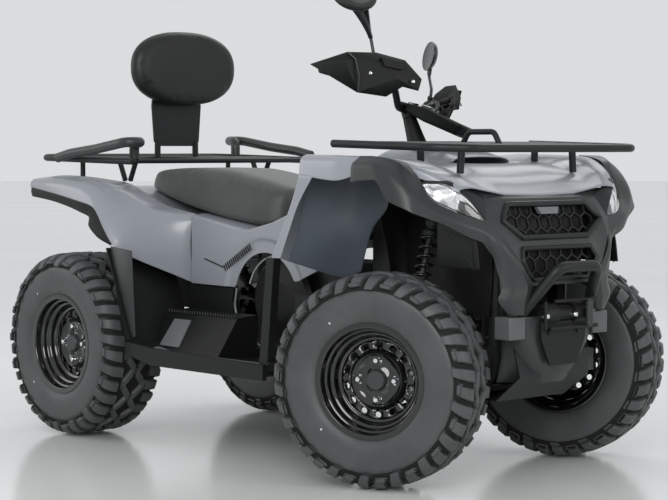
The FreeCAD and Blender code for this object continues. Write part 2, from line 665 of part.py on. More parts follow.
def add_frame():
    lower, upper = rail(LOWER_RAIL_SHARES), rail(UPPER_RAIL_SHARES)
    radius, thin = size("frame_tube_radius"), size("member_radius")
    keep("frame_lower_rails", pair(tube(lower, radius, size("frame_bend"))))
    keep("frame_upper_rails", pair(tube(upper, radius, size("frame_bend"))))
    inside = size("frame_half_width") - radius - GAP
    cross = [(along(x), lower[1].z) for x in LOW_MEMBER_SHARES]
    cross += [(along(x), level(z)) for x, z in HIGH_MEMBER_SHARES + (FRONT_MEMBER_SHARE,)]
    flats = int(size("thin_flats"))
    members = [bar(Vector(x, -inside, z), Vector(x, inside, z), thin, flats) for x, z in cross]
    for x in post_places()[1:]:
        foot = lower[1].z + radius + GAP
        head = min(rail_height(upper, x - thin), rail_height(upper, x + thin)) - radius * SLANT_SHARE - GAP
        for side in (-1, 1):
            y = size("frame_half_width") * side
            members.append(bar(Vector(x, y, foot), Vector(x, y, head), thin, flats))
    for share in OUTRIGGER_SHARES:
        near, far, z = size("frame_half_width") - radius, across(OUTRIGGER_END_SHARE), outrigger_height()
        right = bar(Vector(along(share), -near, z), Vector(along(share), far, z), thin, flats)
        members += [right, mirrored(right)]
    for table, row in ((FRONT_BODY_SHARES, FRONT_MOUNT_ROW), (REAR_BODY_SHARES, REAR_MOUNT_ROW)):
        right = body_mount(upper, table, row, flats)
        members += [right, mirrored(right)]
    members.append(column_bush(inside))
    keep("frame_members", Part.Compound(members))


def panel_height(table, row, x, y):
    """Height of a panel at a point, from its section at row and the next one ahead."""
    heights = []
    for (share, y1, z1), (_, y2, z2) in (table[row][:2], table[row + 1][:2]):
        heights.append((along(share), level(z1 + (z2 - z1) * y / abs(across(y2)))))
    (x1, first), (x2, second) = heights
    return first + (second - first) * max(x - x1, 0) / (x2 - x1)


def body_mount(upper, table, row, flats):
    """A short post on the right upper rail that carries a body panel from below."""
    x, y = along(table[row][0][0]), size("frame_half_width")
    thin = size("member_radius")
    behind, ahead = rail_height(upper, x - thin), rail_height(upper, x + thin)
    foot = max(behind, ahead) + size("frame_tube_radius") * math.hypot(1, (ahead - behind) / (thin * 2)) + GAP
    under = panel_height(table, row, x + thin, y)
    return bar(Vector(x, -y, foot), Vector(x, -y, under - size("panel_wall") - GAP * 3), thin, flats)


def column_bush(inside):
    """The bearing of the steering column, held between the upper rails."""
    centre, axis = column_point(rail_height(rail(UPPER_RAIL_SHARES), along(STEM_TOP_SHARE))), column_axis()
    half = size("stem_radius") * BUSH_SHARE
    beam = Part.makeBox(half * 2, inside * 2, half * 2, Vector(-half, -inside, -half))
    beam.Placement = Placement(centre, Rotation(UP, axis))
    reach = axis * half * 2
    return beam.cut(rod(centre - reach, centre + reach, size("stem_radius") + size("pin_clearance")))


# Suspension: double arms on every wheel, each one solid of two tubes, a boss and its inner bushes
def arm(x, side, outer_y, outer_z, inner_z, bore, plate_y=None):
    inner_y = size("frame_half_width") + size("frame_tube_radius") + size("arm_boss_radius") + GAP
    spread, radius, boss = size("arm_spread"), size("arm_tube_radius"), size("arm_boss_radius")
    tip = Vector(x, outer_y * side, outer_z)
    pieces = [bar(tip - UP * size("arm_boss_height") / 2, tip + UP * size("arm_boss_height") / 2, boss)]
    for way in (-1, 1):
        end = Vector(x + spread * way, inner_y * side, inner_z)
        pieces.append(bar(tip, end, radius, int(size("thin_flats"))))
        pieces.append(bar(end - FORWARD * boss, end + FORWARD * boss, boss, int(size("thin_flats"))))
    if plate_y:
        z = inner_z + (outer_z - inner_z) * (plate_y - inner_y) / (outer_y - inner_y)
        pieces.append(block(Vector(x - spread / 2, plate_y * side - boss, z - radius), Vector(x + spread / 2, plate_y * side + boss, z + radius)))
    shape = pieces[0].multiFuse(pieces[1:]).removeSplitter()
    if bore:
        shape = shape.cut(rod(tip - UP * boss * 2, tip + UP * boss * 2, size("kingpin_pin_radius") + size("pin_clearance")))
    return shape


def arm_levels():
    """Heights of the arms' inner pivots, lower and upper."""
    return rail(LOWER_RAIL_SHARES)[1].z, AXLE_HEIGHT + size("kingpin_reach") + size("upper_arm_rise")


def add_suspension():
    low, high = arm_levels()
    reach = size("kingpin_reach")
    rear_y = size("rear_half_track") - size("kingpin_offset")
    for label, x, outer, bore in (("front_arms", FRONT_AXLE, KINGPIN_Y, True), ("rear_arms", REAR_AXLE, rear_y, False)):
        arms = []
        for side in (-1, 1):
            arms.append(arm(x, side, outer, AXLE_HEIGHT - reach, low, bore))
            arms.append(arm(x, side, outer, AXLE_HEIGHT + reach, high, bore, outer - size("shock_inset")))
        if not bore:
            arms += [hub_carrier(side, outer) for side in (-1, 1)]
        keep(label, Part.Compound(arms))
    add_shocks(high)


def hub_carrier(side, outer):
    """The rear upright between the arms' ends, with the bearing of the rear stub axle."""
    half = size("knuckle_width") / 2
    centre = Vector(REAR_AXLE, outer * side, AXLE_HEIGHT)
    post = upright(half, size("kingpin_reach"))
    post.Placement = Placement(centre, Rotation())
    length = size("kingpin_offset") - size("hub_depth") - GAP
    boss = bar(centre, centre + LEFT * side * length, size("stub_radius") * 2 - size("rim_wall"))
    bore = rod(centre + LEFT * side * (length - size("stub_length") - OVERRUN), centre + LEFT * side * (length + OVERRUN),
               size("stub_radius") + size("pin_clearance"))
    return post.fuse(boss).cut(bore)


SHOCK_TOP_Y_SHARE, SPRING_CORE_SHARE = 0.19, 0.8


def shock(x, side, foot_y, foot_z, top):
    """A damper with its spring as a row of rings, an eye at each end."""
    eye = size("arm_boss_radius")
    foot = Vector(x, foot_y * side, foot_z)
    head = Vector(x, across(SHOCK_TOP_Y_SHARE) * side, top)
    axis, length = (head - foot).normalize(), (head - foot).Length
    wide, thin, count = size("shock_radius"), size("shock_rod_radius"), int(size("shock_coils"))
    start, end = eye * 2, length - eye * 2
    pitch = (end - start) / count
    line = [(thin, 0), (thin, start)]
    for k in range(count):
        base = start + pitch * k
        line += [(wide * SPRING_CORE_SHARE, base), (wide, base + pitch / 2)]
    line += [(wide * SPRING_CORE_SHARE, end), (thin, end), (thin, length)]
    body = lathe(line, int(size("bar_flats")), Placement(foot, Rotation(UP, axis)))
    eyes = [bar(p - FORWARD * eye, p + FORWARD * eye, eye * SHOCK_EYE_SHARE) for p in (foot, head)]
    return body.multiFuse(eyes).removeSplitter()


def add_shocks(high):
    shocks, brackets = [], []
    upper = rail(UPPER_RAIL_SHARES)
    eye = size("arm_boss_radius")
    inner_y = size("frame_half_width") + size("frame_tube_radius") + eye + GAP
    for x, outer in ((FRONT_AXLE, KINGPIN_Y), (REAR_AXLE, size("rear_half_track") - size("kingpin_offset"))):
        foot_y = outer - size("shock_inset")
        tip = AXLE_HEIGHT + size("kingpin_reach")
        foot_z = high + (tip - high) * (foot_y - inner_y) / (outer - inner_y) + size("arm_tube_radius") + eye * SHOCK_EYE_SHARE + GAP
        top = rail_height(upper, x) - eye
        for side in (-1, 1):
            shocks.append(shock(x, side, foot_y, foot_z, top))
            near = size("frame_half_width") + size("frame_tube_radius") + GAP
            low_corner = Vector(x - eye, min(near * side, (across(SHOCK_TOP_Y_SHARE) + eye) * side), top + eye * SHOCK_EYE_SHARE + GAP)
            high_corner = Vector(x + eye, max(near * side, (across(SHOCK_TOP_Y_SHARE) + eye) * side), top + eye * BRACKET_RISE_SHARE)
            brackets.append(block(low_corner, high_corner))
    keep("shocks", Part.Compound(shocks))
    keep("shock_brackets", Part.Compound(brackets))


# Drive train
def add_drive():
    length, width, height, floor = (size(n) for n in ("engine_length", "engine_width", "engine_height", "engine_floor"))
    body = add_body("engine")
    corners = [(f"{sign_x}Sizes.engine_length / 2", f"{sign_y}Sizes.engine_width / 2")
               for sign_x, sign_y in (("-", "-"), ("", "-"), ("", ""), ("-", ""))]
    pad(body, outline(body, "engine_plan", "XY_Plane", corners, "Sizes.engine_floor"), "Sizes.engine_height")
    NODES.append(body)
    cover = Vector(along(COVER_SHARE[0]), -width / 2 - GAP, level(COVER_SHARE[1]))
    neck, depth, crown, radius = size("cover_neck"), size("cover_depth"), size("cover_crown"), size("cover_radius")
    line = [(radius * COVER_NECK_SHARE, 0), (radius * COVER_NECK_SHARE, neck), (radius, neck), (radius, depth - crown * 2),
            (radius - crown, depth - crown), (radius * COVER_FLAT_SHARE, depth)]
    keep("transmission_cover", lathe(line, int(size("cover_flats")), Placement(cover, Rotation(UP, -LEFT))))
    add_gear_cases()
    add_shafts(length)


def add_gear_cases():
    """Front and rear final drives, each with a nose towards the engine."""
    cases = []
    half, radius = size("gear_case_width") / 2, size("gear_case_radius")
    for x, way in ((FRONT_AXLE, -1), (REAR_AXLE, 1)):
        centre = Vector(x, 0, AXLE_HEIGHT)
        case = bar(centre - LEFT * half, centre + LEFT * half, radius, int(size("round_flats")))
        nose = bar(centre, centre + FORWARD * way * (radius + size("nose_length")), size("nose_radius"))
        cases.append(case.fuse(nose))
    keep("gear_cases", Part.Compound(cases))


def add_shafts(length):
    shafts = []
    for x, way in ((FRONT_AXLE, -1), (REAR_AXLE, 1)):
        engine_face = Vector(-way * (length / 2 + GAP), 0, AXLE_HEIGHT + size("prop_shaft_radius"))
        nose = Vector(x + way * (size("gear_case_radius") + size("nose_length") + GAP), 0, AXLE_HEIGHT)
        shafts.append(bar(Vector(engine_face.x, 0, AXLE_HEIGHT), nose, size("prop_shaft_radius")))
        outer = (KINGPIN_Y if x > 0 else size("rear_half_track") - size("kingpin_offset")) - size("knuckle_width") / 2
        outer -= size("running_gap") * 2 if x > 0 else GAP
        for side in (-1, 1):
            start = Vector(x, (size("gear_case_width") / 2 + GAP) * side, AXLE_HEIGHT)
            shafts.append(half_shaft(start, outer - abs(start.y), side))
    keep("drive_shafts", Part.Compound(shafts))


def half_shaft(start, length, side):
    """A drive shaft with a ribbed boot at each end."""
    thin, wide = size("half_shaft_radius"), size("boot_radius")
    run = wide * BOOT_RUN_SHARE
    line = [(wide, 0), (wide, run / 3), (thin * BOOT_NECK_SHARE, run), (thin, run + thin), (thin, length - run - thin),
            (thin * BOOT_NECK_SHARE, length - run), (wide, length - run / 3), (wide, length)]
    return lathe(line, int(size("bar_flats")), Placement(start, Rotation(UP, LEFT * side)))


COVER_SHARE = (0.503, 0.485)
COVER_NECK_SHARE, COVER_FLAT_SHARE = 0.7, 0.45

# Body panels, each section a row of places from the middle of the vehicle outwards
FRONT_BODY_SHARES = (
    ((0.827, 0, 0.9), (0.827, -0.15, 0.905), (0.827, -0.185, 0.948), (0.827, -0.33, 0.958), (0.827, -0.465, 0.966), (0.827, -0.497, 0.95), (0.827, -0.503, 0.905)),
    ((0.938, 0, 0.905), (0.938, -0.15, 0.912), (0.938, -0.2, 0.945), (0.938, -0.33, 0.958), (0.938, -0.47, 0.963), (0.938, -0.5, 0.945), (0.938, -0.505, 0.89)),
    ((1.034, 0, 0.938), (1.034, -0.16, 0.94), (1.034, -0.24, 0.938), (1.034, -0.33, 0.952), (1.034, -0.43, 0.958), (1.034, -0.455, 0.945), (1.034, -0.46, 0.925)),
    ((1.116, 0, 0.9), (1.116, -0.16, 0.904), (1.116, -0.25, 0.905), (1.116, -0.33, 0.922), (1.116, -0.385, 0.922), (1.116, -0.4, 0.912), (1.116, -0.402, 0.895)),
    ((1.175, 0, 0.846), (1.175, -0.15, 0.85), (1.175, -0.23, 0.864), (1.175, -0.29, 0.872), (1.175, -0.33, 0.868), (1.175, -0.338, 0.862), (1.175, -0.339, 0.858)),
)
# The fender's drop behind the front wheel: its outer strip, then the liner that runs in and forward
LINER_SHARES = (
    ((0.836, -0.5, 0.9035), (0.87, -0.5, 0.8955), (0.841, -0.455, 0.925), (0.884, -0.322, 0.938), (0.949, -0.3, 0.935)),
    ((0.801, -0.5, 0.821), (0.825, -0.5, 0.821), (0.801, -0.455, 0.821), (0.875, -0.327, 0.821), (0.945, -0.3, 0.821)),
    ((0.77, -0.5, 0.738), (0.795, -0.5, 0.738), (0.781, -0.455, 0.738), (0.869, -0.33, 0.738), (0.897, -0.3, 0.738)),
    ((0.736, -0.5, 0.652), (0.766, -0.5, 0.652), (0.758, -0.455, 0.64), (0.829, -0.33, 0.592), (0.863, -0.3, 0.61)),
)
REAR_BODY_SHARES = (
    ((-0.188, 0, 0.846), (-0.188, -0.15, 0.848), (-0.188, -0.3, 0.868), (-0.188, -0.42, 0.88), (-0.188, -0.466, 0.872), (-0.188, -0.482, 0.85), (-0.188, -0.484, 0.82)),
    ((-0.089, 0, 0.846), (-0.089, -0.15, 0.844), (-0.089, -0.3, 0.872), (-0.089, -0.425, 0.89), (-0.089, -0.474, 0.878), (-0.089, -0.494, 0.845), (-0.089, -0.497, 0.805)),
    ((0.021, 0, 0.834), (0.021, -0.15, 0.826), (0.021, -0.3, 0.868), (0.021, -0.425, 0.884), (0.021, -0.476, 0.866), (0.021, -0.498, 0.83), (0.021, -0.502, 0.782)),
    ((0.089, 0, 0.79), (0.089, -0.15, 0.792), (0.089, -0.3, 0.84), (0.089, -0.41, 0.858), (0.089, -0.47, 0.83), (0.089, -0.496, 0.78), (0.089, -0.5, 0.745)),
    ((0.144, 0, 0.76), (0.144, -0.15, 0.765), (0.144, -0.25, 0.79), (0.144, -0.35, 0.795), (0.144, -0.43, 0.765), (0.144, -0.482, 0.7), (0.144, -0.492, 0.659)),
    ((0.237, 0, 0.73), (0.237, -0.15, 0.735), (0.237, -0.215, 0.76), (0.237, -0.24, 0.735), (0.237, -0.246, 0.65), (0.237, -0.24, 0.58), (0.237, -0.236, 0.527)),
)


def section_rows(table):
    return [whole([spot(share) for share in row]) for row in table]


def add_bodywork():
    shell = skin(section_rows(FRONT_BODY_SHARES), size("panel_wall"), -FORWARD)
    liner = skin([[spot(share) for share in row] for row in LINER_SHARES], size("panel_wall"), UP)
    keep("front_body", Part.Compound([shell.cut(column_room()).cut(pair(lamp_room())), liner, mirrored(liner)]))
    keep("rear_body", skin(section_rows(REAR_BODY_SHARES), size("panel_wall"), -FORWARD))
    brow = [[spot(share) for share in row] for row in BROW_SHARES]
    keep("brows", pair(skin(brow, size("shroud_wall"), FORWARD).cut(lamp_room())))


BROW_SHARES = (
    ((0.973, -0.455, 0.968), (0.973, -0.492, 0.963), (0.973, -0.516, 0.93), (0.973, -0.52, 0.884)),
    ((1.041, -0.446, 0.957), (1.041, -0.484, 0.961), (1.041, -0.514, 0.935), (1.041, -0.518, 0.905)),
    ((1.103, -0.418, 0.938), (1.103, -0.448, 0.938), (1.103, -0.502, 0.905), (1.103, -0.51, 0.85)),
    ((1.137, -0.4, 0.912), (1.137, -0.428, 0.902), (1.137, -0.474, 0.85), (1.137, -0.484, 0.806)),
    ((1.168, -0.362, 0.872), (1.168, -0.392, 0.85), (1.168, -0.43, 0.81), (1.168, -0.436, 0.772)),
    ((1.196, -0.322, 0.796), (1.196, -0.344, 0.78), (1.196, -0.356, 0.724), (1.196, -0.356, 0.692)),
    ((1.21, -0.298, 0.73), (1.21, -0.31, 0.722), (1.21, -0.312, 0.69), (1.21, -0.312, 0.662)),
)
FASCIA_SHARES = (
    ((1.185, 0, 0.838), (1.184, -0.15, 0.838), (1.178, -0.225, 0.838), (1.163, -0.325, 0.838)),
    ((1.209, 0, 0.746), (1.212, -0.15, 0.746), (1.22, -0.235, 0.746), (1.193, -0.318, 0.746)),
    ((1.223, 0, 0.64), (1.227, -0.14, 0.64), (1.238, -0.205, 0.64), (1.205, -0.285, 0.64)),
    ((1.23, 0, 0.55), (1.234, -0.12, 0.55), (1.244, -0.18, 0.55), (1.218, -0.245, 0.55)),
    ((1.225, 0, 0.499), (1.226, -0.12, 0.499), (1.227, -0.19, 0.499), (1.221, -0.222, 0.499)),
)
SEAT_SHARES = (
    ((-0.063, -0.06, 0.846), (-0.063, -0.084, 0.862), (-0.063, -0.07, 0.89), (-0.063, -0.04, 0.897)),
    ((0.021, -0.12, 0.834), (0.021, -0.16, 0.86), (0.021, -0.135, 0.9), (0.021, -0.08, 0.908)),
    ((0.123, -0.15, 0.812), (0.123, -0.192, 0.838), (0.123, -0.165, 0.9), (0.123, -0.09, 0.914)),
    ((0.226, -0.15, 0.775), (0.226, -0.202, 0.808), (0.226, -0.172, 0.892), (0.226, -0.09, 0.914)),
    ((0.349, -0.14, 0.74), (0.349, -0.196, 0.775), (0.349, -0.168, 0.868), (0.349, -0.09, 0.893)),
    ((0.445, -0.12, 0.722), (0.445, -0.172, 0.748), (0.445, -0.15, 0.832), (0.445, -0.08, 0.862)),
    ((0.49, -0.08, 0.738), (0.49, -0.11, 0.756), (0.49, -0.1, 0.82), (0.49, -0.06, 0.842)),
)


def solid_loft(table):
    """A closed form through sections that are the same on both sides."""
    rings = []
    for row in table:
        half = [spot(share) for share in row]
        rings.append(half + [Vector(p.x, -p.y, p.z) for p in half[::-1]])
    return woven(rings)


def add_seat():
    keep("seat", solid_loft(SEAT_SHARES), Placement(UP * GAP, Rotation()))
    keep("backrest_pad", backrest_form(), Placement(spot(BACKREST_SHARE), Rotation()))


def backrest_form():
    """An oval cushion: the same outline in rings that draw in towards both faces."""
    wide, high, deep = size("backrest_half_width"), size("backrest_half_height"), size("backrest_depth") / 2
    edge, corners = size("backrest_round"), int(size("round_flats")) * 2
    rings = []
    for depth_share, inset_share in CUSHION_SHARES:
        inset = edge * inset_share
        ring = []
        for k in range(corners):
            angle = 2 * math.pi * k / corners
            ring.append(Vector(deep * depth_share, (wide - inset) * fuller(math.cos(angle)),
                               (high - inset) * fuller(math.sin(angle))))
        rings.append(ring)
    return woven(rings)


def fuller(value):
    """Rounds an oval out towards its corners."""
    return math.copysign(abs(value) ** CUSHION_CORNER_SHARE, value)


CUSHION_CORNER_SHARE = 0.86
CUSHION_SHARES = ((-1, 1), (-0.75, 0.3), (0, 0), (0.75, 0.3), (1, 1))
BACKREST_SHARE = (-0.009, 0, 1.27)


CONSOLE_SHARES = (
    ((0.495, 0, 0.836), (0.495, -0.07, 0.832), (0.495, -0.116, 0.8), (0.495, -0.142, 0.7064)),
    ((0.637, 0, 0.908), (0.637, -0.08, 0.903), (0.637, -0.14, 0.872), (0.637, -0.172, 0.77)),
    ((0.774, 0, 0.968), (0.774, -0.09, 0.964), (0.774, -0.15, 0.938), (0.774, -0.176, 0.88)),
    ((0.822, 0, 0.986), (0.822, -0.092, 0.982), (0.822, -0.132, 0.962), (0.822, -0.14, 0.918)),
    ((0.938, 0, 0.98), (0.938, -0.085, 0.978), (0.938, -0.125, 0.96), (0.938, -0.14, 0.922)),
    ((1.01, 0, 0.96), (1.01, -0.078, 0.958), (1.01, -0.112, 0.952), (1.01, -0.125, 0.944)),
)


def add_console():
    shell = skin(section_rows(CONSOLE_SHARES), size("panel_wall"), -FORWARD)
    keep("console", shell.cut(column_room()))


def column_room():
    """The room that the steering column turns in, wherever it passes through a panel."""
    foot, top = column_point(size("pitman_height")), column_point(size("stem_top_height"))
    return bar(foot, top, size("stem_radius") + size("running_gap"))


SIDE_PANEL_SHARES = ((0.24, 0.757), (0.24, 0.527), (0.418, 0.524), (0.616, 0.56), (0.705, 0.61), (0.795, 0.69),
                     (0.795, 0.872), (0.637, 0.8), (0.527, 0.742), (0.438, 0.714), (0.329, 0.738))
INNER_WALL_SHARES = ((0.233, 0.312), (0.233, 0.522), (0.397, 0.52), (0.705, 0.52), (0.705, 0.312))
COVER_CLEARANCE_SHARE = 1.1


def pushed(shares, y, wall):
    """An outline in the side view, given a wall inwards from a distance right of the middle."""
    corners = [Vector(along(x), y, level(z)) for x, z in shares]
    return prism(corners, LEFT * wall)


def add_side_panels():
    y = across(SIDE_PANEL_Y_SHARE)
    corners = [Vector(along(x), y, level(z)) for x, z in SIDE_PANEL_SHARES]
    for corner in corners[:2]:
        corner.x = along(REAR_BODY_SHARES[-1][0][0]) + GAP
    panel = prism(corners, LEFT * size("side_panel_wall"))
    centre = Vector(along(COVER_SHARE[0]), y, level(COVER_SHARE[1]))
    hole = bar(centre - LEFT * OVERRUN * 2, centre + LEFT * size("side_panel_wall") * 2,
               size("cover_radius") * COVER_CLEARANCE_SHARE, int(size("cover_flats")))
    keep("side_panels", pair(panel.cut(hole)))


SIDE_PANEL_Y_SHARE, FOOTWELL_IN_SHARE, FOOTWELL_OUT_SHARE = -0.24, -0.243, -0.5
FOOTWELL_SHARES = ((0.147, 0.65), (0.238, 0.345), (0.338, 0.304), (0.705, 0.304), (0.729, 0.335))
SILL_SHARES = ((0.229, 0.345), (0.332, 0.332), (0.721, 0.324), (0.721, 0.276), (0.329, 0.276), (0.232, 0.304))
POST_SHARES = ((0.695, 0.3), (0.721, 0.3), (0.745, 0.651), (0.721, 0.651))
STEP_SHARES = ((-0.243, 0.303), (-0.243, 0.442), (-0.335, 0.436), (-0.425, 0.303))
STEP_START_SHARE, STEP_END_SHARE = 0.229, 0.486


def floor_height():
    """Top of the floor plate: it rests on the outriggers, which rest on the lower rails."""
    return outrigger_height() + member_half_height() + GAP + size("floor_wall")


def add_footwells():
    inner, outer, wall = across(FOOTWELL_IN_SHARE), across(FOOTWELL_OUT_SHARE), size("floor_wall")
    top = floor_height()
    line = [Vector(along(x), inner, level(z)) for x, z in FOOTWELL_SHARES]
    for corner in line[2:4]:
        corner.z = top
    under = offset_line(line, wall, LEFT)
    floor = prism(line + under[::-1], LEFT * (outer - inner))
    sill = pushed(SILL_SHARES, outer, -size("sill_wall"))
    post = pushed(POST_SHARES, outer, size("post_depth"))
    wall_in = pushed(INNER_WALL_SHARES, inner, -wall)
    centre = Vector(along(COVER_SHARE[0]), inner, level(COVER_SHARE[1]))
    hole = bar(centre + LEFT * wall, centre - LEFT * wall * 2, size("cover_radius") * COVER_CLEARANCE_SHARE,
               int(size("cover_flats")))
    step = prism([Vector(along(STEP_START_SHARE), across(y), level(z)) for y, z in STEP_SHARES],
                 FORWARD * (along(STEP_END_SHARE) - along(STEP_START_SHARE)))
    shape = floor.multiFuse([sill, post, wall_in.cut(hole), step.cut(hole)])
    keep("footwells", pair(shape.removeSplitter()))


# Lamps and grilles
LAMP_GROWTH = GAP * 2
LAMP_SHARES = ((1.12, -0.408, 0.884), (1.151, -0.372, 0.884), (1.178, -0.318, 0.846), (1.197, -0.262, 0.775), (1.185, -0.33, 0.795), (1.144, -0.4, 0.842))
LAMP_DEPTH_SHARE, LAMP_TURN_SHARE, LAMP_DROP_SHARE, LAMP_POCKET_SHARE = -0.04, 0.5, 0.25, 1.02


def lamp_depth():
    """How far a right headlamp goes back into the nose, along the way it faces."""
    depth = across(LAMP_DEPTH_SHARE)
    return Vector(depth, -depth * LAMP_TURN_SHARE, depth * LAMP_DROP_SHARE)


def lamp_room():
    """The pocket of the right headlamp: its outline let out by the clearance, open to the front."""
    front, depth = drawn_in([spot(share) for share in LAMP_SHARES], -LAMP_GROWTH), lamp_depth()
    return slab([p - depth for p in front], [p + depth * LAMP_POCKET_SHARE for p in front])


def add_lamps():
    front, depth = [spot(share) for share in LAMP_SHARES], lamp_depth()
    keep("headlamps", pair(slab(front, [p + depth for p in front])))
    tail = [spot(share) for share in TAIL_LAMP_SHARES]
    keep("tail_lamps", pair(slab(tail, [p + FORWARD * size("tail_lamp_depth") for p in tail])))


TAIL_LAMP_SHARES = ((-0.187, -0.33, 0.866), (-0.187, -0.44, 0.872), (-0.187, -0.456, 0.838), (-0.187, -0.34, 0.826))
UPPER_GRILLE_SHARES = ((-0.168, 0.822), (-0.213, 0.775), (-0.14, 0.726), (0.14, 0.726), (0.213, 0.775), (0.168, 0.822))
LOWER_GRILLE_SHARES = ((-0.148, 0.694), (-0.162, 0.66), (-0.118, 0.604), (0.118, 0.604), (0.162, 0.66), (0.148, 0.694))
OPEN_NOSE_SHARES = ((-0.178, 0.588), (-0.178, 0.48), (0.178, 0.48), (0.178, 0.588))


SPLASH_SHARES, SPLASH_Y_SHARE = ((0.904, 0.49), (1.137, 0.49), (1.147, 0.6), (1.147, 0.83), (1.103, 0.88), (0.904, 0.89)), -0.1563
RADIATOR_SHARES = ((1.089, 0.52), (1.12, 0.83))
CHEEK_SHARES = ((1.09, 0.64), (1.192, 0.64), (1.197, 0.7), (1.195, 0.746), (1.186, 0.768), (1.12, 0.778), (1.09, 0.8))
CHEEK_Y_SHARE = -0.304


def front_opening(shares):
    """An opening through the nose, seen from the front."""
    start = FRONT_AXLE
    corners = [Vector(start, across(y), level(z)) for y, z in shares]
    return prism(corners, FORWARD * OVERALL / 4)


def grille(shares, cell, web):
    """A honeycomb plate that fills an opening and follows the nose's slope."""
    corners = [(across(y), level(z)) for y, z in shares]
    low, high = min(z for _, z in corners), max(z for _, z in corners)
    wide = max(y for y, _ in corners)
    x_low, x_high = nose_x(low), nose_x(high)
    outline_points = [Vector(x_low + (x_high - x_low) * (z - low) / (high - low), y, z) for y, z in corners]
    plate = prism(outline_points, FORWARD * -size("grille_wall"))
    holes, row_step, column_step = [], cell * CELL_ROW_SHARE, cell * math.sqrt(3) / 2
    rows, columns = int((high - low) / row_step) + 2, int(wide / column_step) + 2
    for r in range(rows):
        for c in range(-columns, columns + 1):
            y, z = (c + 0.5 * (r % 2)) * column_step, low + r * row_step
            points = [Vector(x_low - size("grille_wall") * GRILLE_REACH_SHARE, y + (cell / 2 - web / 2) * math.sin(math.pi / 3 * k),
                             z + (cell / 2 - web / 2) * math.cos(math.pi / 3 * k)) for k in range(6)]
            holes.append(prism(points, FORWARD * size("grille_wall") * GRILLE_REACH_SHARE * 2))
    inner = drawn_in([Vector(x_low - size("grille_wall") * GRILLE_REACH_SHARE, y, z) for y, z in corners], size("grille_rim"))
    mesh_zone = prism(inner, FORWARD * size("grille_wall") * GRILLE_REACH_SHARE * 2)
    cutters = Part.Compound(holes).common(mesh_zone)
    return plate.cut(cutters)


def drawn_in(points, inset):
    """An outline drawn in towards its middle by about an inset."""
    centre = Vector()
    for p in points:
        centre += p * (1 / len(points))
    moved = []
    for p in points:
        out = p - centre
        moved.append(p - out * (inset / out.Length))
    return moved


def nose_x(z):
    """The fascia's front face in the middle, at a height, behind its wall."""
    rows = [row[0] for row in FASCIA_SHARES]
    for (x1, _, z1), (x2, _, z2) in zip(rows, rows[1:]):
        if level(z2) <= z <= level(z1):
            return along(x1) + (along(x2) - along(x1)) * (z - level(z1)) / (level(z2) - level(z1))
    return along(rows[-1][0])


def add_front():
    shell = skin(section_rows(FASCIA_SHARES), size("fascia_wall"), UP)
    for shares in (UPPER_GRILLE_SHARES, LOWER_GRILLE_SHARES, OPEN_NOSE_SHARES):
        shell = shell.cut(front_opening(shares))
    cheek = pushed(CHEEK_SHARES, across(CHEEK_Y_SHARE), size("side_panel_wall"))
    shell = shell.fuse([cheek, mirrored(cheek)])
    plate = pushed(SPLASH_SHARES, across(SPLASH_Y_SHARE), -size("side_panel_wall"))
    top = rail_height(rail(UPPER_RAIL_SHARES), FRONT_AXLE)
    reach = size("arm_boss_radius") * 2
    room = block(Vector(FRONT_AXLE - reach, across(SPLASH_Y_SHARE) - reach, top - reach),
                 Vector(FRONT_AXLE + reach, across(SPLASH_Y_SHARE) + reach, top + reach))
    keep("fascia", Part.Compound([shell.cut(pair(lamp_room())), plate.cut(room), mirrored(plate.cut(room))]))
    half = size("frame_half_width") - size("frame_tube_radius") - GAP
    (x_rear, z_low), (x_front, z_high) = RADIATOR_SHARES
    keep("radiator", block(Vector(along(x_rear), -half, level(z_low)), Vector(along(x_front), half, level(z_high))))
    meshes = [grille(shares, size("grille_cell"), size("grille_web")) for shares in (UPPER_GRILLE_SHARES, LOWER_GRILLE_SHARES)]
    keep("grilles", Part.Compound(meshes))


# Racks, bars and guards
FRONT_RACK_SHARES = ((0.877, -0.43, 0.998), (1.158, -0.43, 0.987), (1.219, -0.34, 0.984))
FRONT_RACK_BAR_SHARES = (0.911, 0.954, 1.003, 1.064, 1.114, 1.175)
FRONT_RACK_POST_SHARES = (((1.003, -0.25, 0.992), (1.003, -0.248, 0.946)), ((1.114, -0.24, 0.989), (1.114, -0.246, 0.912)))
RACK_HOOP_SHARES = ((0.954, 0, 0.994), (0.973, 0, 1.034), (1.046, 0, 1.034), (1.064, 0, 0.991))
REAR_RACK_SHARES = ((0.158, -0.4, 0.94), (-0.185, -0.424, 0.951), (-0.214, -0.37, 0.953))
REAR_RACK_BAR_SHARES = (0.13, 0.075, 0.007, -0.038, -0.116)
REAR_RACK_STRUT_SHARES = (((0.075, -0.3, 0.942), (0.051, -0.3, 0.873)), ((0.007, -0.3, 0.944), (0.031, -0.3, 0.873)),
                          ((-0.116, -0.33, 0.948), (-0.116, -0.33, 0.8771)))
GRAB_BAR_SHARES = ((-0.103, -0.449, 0.951), (-0.048, -0.45, 0.966), (0.055, -0.45, 0.981), (0.175, -0.45, 1.005), (0.19, -0.4, 1.005),
                   (0.13, -0.366, 1.001), (0.13, -0.366, 0.949))
GRAB_TURN_SHARE = 0.007


